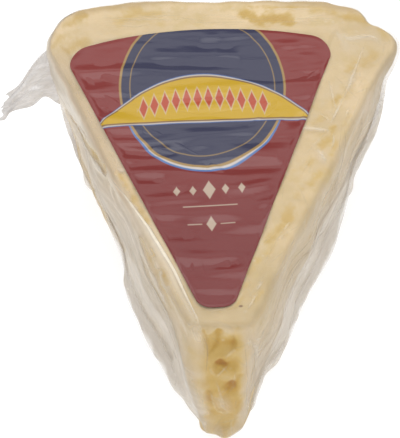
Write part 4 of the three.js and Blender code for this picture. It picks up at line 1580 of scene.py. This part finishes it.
def label_rings():
    """Rings out along the underside and back along the upper side. Each point keeps its
    place on the flat label, for the print."""
    plan = wedge_plan(LABEL_PLAN, LABEL_STEPS)[:, :2]
    shares = np.concatenate([UNDER_SHARES, UPPER_SHARES])
    own = shares[:, None, None] * plan
    turn = np.array([[math.cos(LABEL_TURN), math.sin(LABEL_TURN)],
                     [-math.sin(LABEL_TURN), math.cos(LABEL_TURN)]])
    spread = LABEL_CENTRE + own @ turn
    x, y = spread[..., 0], spread[..., 1]
    points = np.stack([x, y, 0 * x], axis=2).reshape(-1, 3)
    ruffle = sum(height * unevenness(points, pitch, seed=seed, stretch=(stretch, 1, 1))
                 for height, pitch, seed, stretch in RUFFLES)
    ruffle = ruffle * (0.8 + 0.3 * smooth_rise(points[:, 1], -32, -4)) + pleat_height(points)
    free = 1 - smooth_rise(shares, 0.972, 1.0)[:, None]
    lift = LABEL_RIM_LIFT + (LABEL_LIFT - LABEL_RIM_LIFT) * free
    upper = slice(len(UNDER_SHARES), None)
    lift[upper] += LABEL_THICKNESS * (0.6 + 0.4 * free[upper])
    loose = 1 - smooth_rise(shares, 0.93, 1.0)[:, None]
    deepest = DEEPEST_RIM + LABEL_SINK * (1 - smooth_rise(shares, 0.86, 0.965)[:, None])
    ruffle = np.maximum(ruffle.reshape(x.shape) * (0.10 + 0.90 * loose), -deepest)
    follow = 1 - (1 - LABEL_FOLLOW) * loose
    z = PACK_HEIGHT + follow * top_ripple(x, y) + lift + ruffle
    place = np.stack([own[..., 0], own[..., 1], 0 * x], axis=2)
    return np.stack([x, y, z], axis=2), place


grid, place = label_rings()
label = ring_piece("printed_label", grid, {"print_place": place * 0.01})
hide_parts("label")

# %% [markdown]
# The print is a plain grocer's design of its own: a wine-red field, a dark blue oval that
# hangs from the top edge with gold, cream and blue rims, a gold lens across its middle
# with a row of wine diamonds, and a few small cream diamonds and rules below. Each motif
# is a distance worked out from the label's own two measures, and a smooth step turns it
# into ink. Distances are in tenths of a metre, as the place mark stores them.

# %% Inks and motifs of the label
LABEL_INKS = dict(
    wine=ink(0.154, 0.0045, 0.0035), sheen_wine=ink(0.212, 0.020, 0.016),
    blue_rim=ink(0.08, 0.17, 0.40), cream_rim=ink(0.55, 0.50, 0.46),
    oval=ink(0.022, 0.023, 0.062), gold_line=ink(0.33, 0.20, 0.06),
    thin_gold_line=ink(0.26, 0.17, 0.07),
    blue_lens_rim=ink(0.06, 0.11, 0.30), cream_lens_rim=ink(0.52, 0.47, 0.40),
    brown_lens_rim=ink(0.20, 0.11, 0.040), gold_lens=ink(0.520, 0.320, 0.006),
    diamond_rim=ink(0.56, 0.44, 0.26), diamonds=ink(0.42, 0.060, 0.022),
    cream_marks=ink(0.50, 0.40, 0.30),
)
OVAL = dict(half_width=0.190, half_height=0.245, y=0.225, hung_y=0.209)
LENS = dict(half_width=0.238, half_height=0.066, y=0.185, bend=1.2)
ROW = dict(half_step=0.0250, half_width=0.0095, half_height=0.030, half_length=0.150)
SMALL_DIAMONDS = [
    # x, y, half width, half height
    (0, -0.090, 0.014, 0.026),
    (-0.072, -0.090, 0.008, 0.014),
    (-0.036, -0.090, 0.008, 0.014),
    (0.036, -0.090, 0.008, 0.014),
    (0.072, -0.090, 0.008, 0.014),
    (0, -0.185, 0.011, 0.020),
]
RULES = [
    # y, half thickness, distance of its middle to either side, half length
    (-0.135, 0.0014, 0, 0.060),
    (-0.185, 0.0012, 0.036, 0.016),
]
INK_EDGE = 0.0016
print("label print:", len(LABEL_INKS), "inks,", len(SMALL_DIAMONDS), "small diamonds and",
      len(RULES), "rows of rules")


def inside(distance):
    """1 where a distance is below 0, 0 above, with a soft edge."""
    return 1 - distance.rise(-INK_EDGE, INK_EDGE)


def line(distance, half_width):
    return inside(distance.size() - half_width)


def diamond(x, y, half_x, half_y):
    return ((x / half_x).size() + (y / half_y).size() - 1) * min(half_x, half_y)


def oval(x, y):
    """Distance from the oval's edge, about, for a place measured from its middle."""
    across, up = x / OVAL["half_width"], y / OVAL["half_height"]
    return ((across * across + up * up) ** 0.5 - 1) * 0.2


# %% Finish of the label
def label_finish():
    recipe = Recipe("printed_label")
    place = recipe.mark("print_place", output="Vector")
    x, y = recipe.part(place, "X"), recipe.part(place, "Y")
    # Painted sheen: the wine field grows paler towards the top edge, where the softbox behind is
    # mirrored, with a little random tone.
    sheen_and_tone = y.rise(-0.30, 0.35) * 0.8 + recipe.noise(place, 6, detail=3).rise(0.3, 0.7) * 0.2
    field = recipe.blend(sheen_and_tone, LABEL_INKS["wine"], LABEL_INKS["sheen_wine"])
    panel, hung = oval(x, y - OVAL["y"]), oval(x, y - OVAL["hung_y"])
    off_lens = y - LENS["y"] + x * x * LENS["bend"]
    across = x / LENS["half_width"]
    lens = ((off_lens / LENS["half_height"]).size() + across * across - 1) * LENS["half_height"]
    step = x.maths("PINGPONG", x + ROW["half_step"], ROW["half_step"]) - ROW["half_step"] / 2
    row = diamond(step, off_lens, ROW["half_width"], ROW["half_height"])
    row = row.most(x.size() - ROW["half_length"])
    marks = [inside(diamond(x - x0, y - y0, half_x, half_y))
             for x0, y0, half_x, half_y in SMALL_DIAMONDS]
    marks += [line(y - y0, thin) * inside((x.size() - x0).size() - half_length)
              for y0, thin, x0, half_length in RULES]
    layers = dict(
        blue_rim=inside(hung), cream_rim=inside(hung + 0.005),
        oval=inside(panel), gold_line=line(panel, 0.0028),
        thin_gold_line=line(panel + 0.024, 0.0012),
        blue_lens_rim=inside(lens - 0.0105), cream_lens_rim=inside(lens - 0.0080),
        brown_lens_rim=inside(lens - 0.0048), gold_lens=inside(lens),
        diamond_rim=inside(row - 0.0022), diamonds=inside(row),
        cream_marks=functools.reduce(Wire.most, marks) * 0.85,
    )
    colour = recipe.paint(field, [(share, LABEL_INKS[name]) for name, share in layers.items()])
    wear = recipe.noise(recipe.stretched(place, (0.4, 1.5, 1.0)), 30, detail=5, roughness=0.6)
    crinkle = recipe.bump(wear, 0.0004, 0.25)
    return recipe.finish(Base_Color=colour, Roughness=0.24, Normal=crinkle, Specular_IOR_Level=0.42,
                         Coat_Weight=0.30, Coat_Roughness=0.15)


label.data.materials.append(label_finish())

# %% [markdown]
# ## Floor, light and camera
#
# Goods for a shop are lit so that hardly any shadow shows. The white table glows a little,
# as a studio's light table does, so that clear film looks bright at its edges.
# Light comes from all round, and most of it from three softboxes. The label's flat parts
# mirror the one behind, its slopes that face the camera mirror the main one above, and its
# slopes that face away mirror neither: they stay dark and full of colour. The third lifts
# the nose. The camera looks down over the nose with a long lens.
#
# The film, its frills and its folds lie over each other, so a ray may cross many
# see-through layers before it gives up.

# %% Floor and world
TABLE = dict(half=1.6, depth=-0.0003, glow=0.74)
WORLD_STRENGTH = 0.40
SEE_THROUGH_LAYERS = 32


def floor_piece(half, depth, glow):
    corners = [(-half, -half, depth), (half, -half, depth), (half, half, depth), (-half, half, depth)]
    mesh = bpy.data.meshes.new("floor")
    mesh.from_pydata(corners, [], [(0, 1, 2, 3)])
    floor = bpy.data.objects.new("floor", mesh)
    bpy.context.collection.objects.link(floor)
    recipe = Recipe("pale_table")
    grain = recipe.noise(recipe.place(), 8, detail=2)
    colour = recipe.blend(grain, ink(0.39, 0.39, 0.39), ink(0.41, 0.41, 0.41))
    mesh.materials.append(recipe.finish(Base_Color=colour, Roughness=0.9, Specular_IOR_Level=0.1,
                                        Emission_Color=ink(1, 1, 1), Emission_Strength=glow))


floor_piece(**TABLE)
scene = bpy.context.scene
scene.view_settings.view_transform = "Standard"
scene.cycles.transparent_max_bounces = SEE_THROUGH_LAYERS
world = bpy.data.worlds.new("studio")
world.use_nodes = True
background = world.node_tree.nodes["Background"].inputs
background["Color"].default_value = ink(1.0, 1.0, 1.0)
background["Strength"].default_value = WORLD_STRENGTH
scene.world = world

# %% Softboxes
SOFTBOXES = dict(
    # place from the pack's middle, width, height, watts
    key_above=((0.0, 0.124, 0.741), 1.3, 0.46, 4.25),
    glow_behind=((0.0, 0.66, 0.75), 1.3, 0.36, 1.8),
    fill_front=((0.0, -0.80, 0.45), 0.8, 0.5, 2.2),
)
middle = Vector(to_frame * MM)


def softbox(name, place, width, height, watts):
    """A rectangular area light that faces the pack."""
    light = bpy.data.lights.new(name, "AREA")
    light.shape = "RECTANGLE"
    light.size, light.size_y = width, height
    light.energy = watts
    lamp = bpy.data.objects.new(name, light)
    lamp.location = middle + Vector(place)
    lamp.rotation_euler = (middle - lamp.location).to_track_quat("-Z", "Y").to_euler()
    bpy.context.collection.objects.link(lamp)
    print(name, "of", watts, "W,", round((middle - lamp.location).length, 2), "m away")


for name, settings in SOFTBOXES.items():
    softbox(name, *settings)

# %% Camera
VIEW = dict(elevation=50.98, azimuth=1.686, roll=-1.62, distance=447.1, aim=(-4.727, -1.21, 22.0))
SENSOR_WIDTH, FOCAL_SHARE = 36, 4.7845


def place_camera():
    """Stands the camera back from the point it aims at, by its azimuth and elevation, and
    rolls it. FOCAL_SHARE is the focal length as a multiple of the sensor's width."""
    elevation, azimuth, roll = (math.radians(VIEW[k]) for k in ("elevation", "azimuth", "roll"))
    back = Vector((math.sin(azimuth) * math.cos(elevation),
                   -math.cos(azimuth) * math.cos(elevation), math.sin(elevation)))
    right = (-back).cross(Vector((0, 0, 1))).normalized()
    up = right.cross(-back)
    tilted_right = right * math.cos(roll) + up * math.sin(roll)
    tilted_up = up * math.cos(roll) - right * math.sin(roll)
    data = bpy.data.cameras.new("camera")
    data.sensor_fit = "HORIZONTAL"
    data.sensor_width = SENSOR_WIDTH
    data.lens = SENSOR_WIDTH * FOCAL_SHARE
    camera = bpy.data.objects.new("camera", data)
    bpy.context.collection.objects.link(camera)
    turn = Matrix((tilted_right, tilted_up, back)).transposed().to_4x4()
    aim = Vector(VIEW["aim"]) * MM + middle
    camera.matrix_world = Matrix.Translation(aim + back * VIEW["distance"] * MM) @ turn
    scene.camera = camera
    print("camera with a lens of", round(data.lens), "mm,", VIEW["distance"], "mm from its aim")


place_camera()
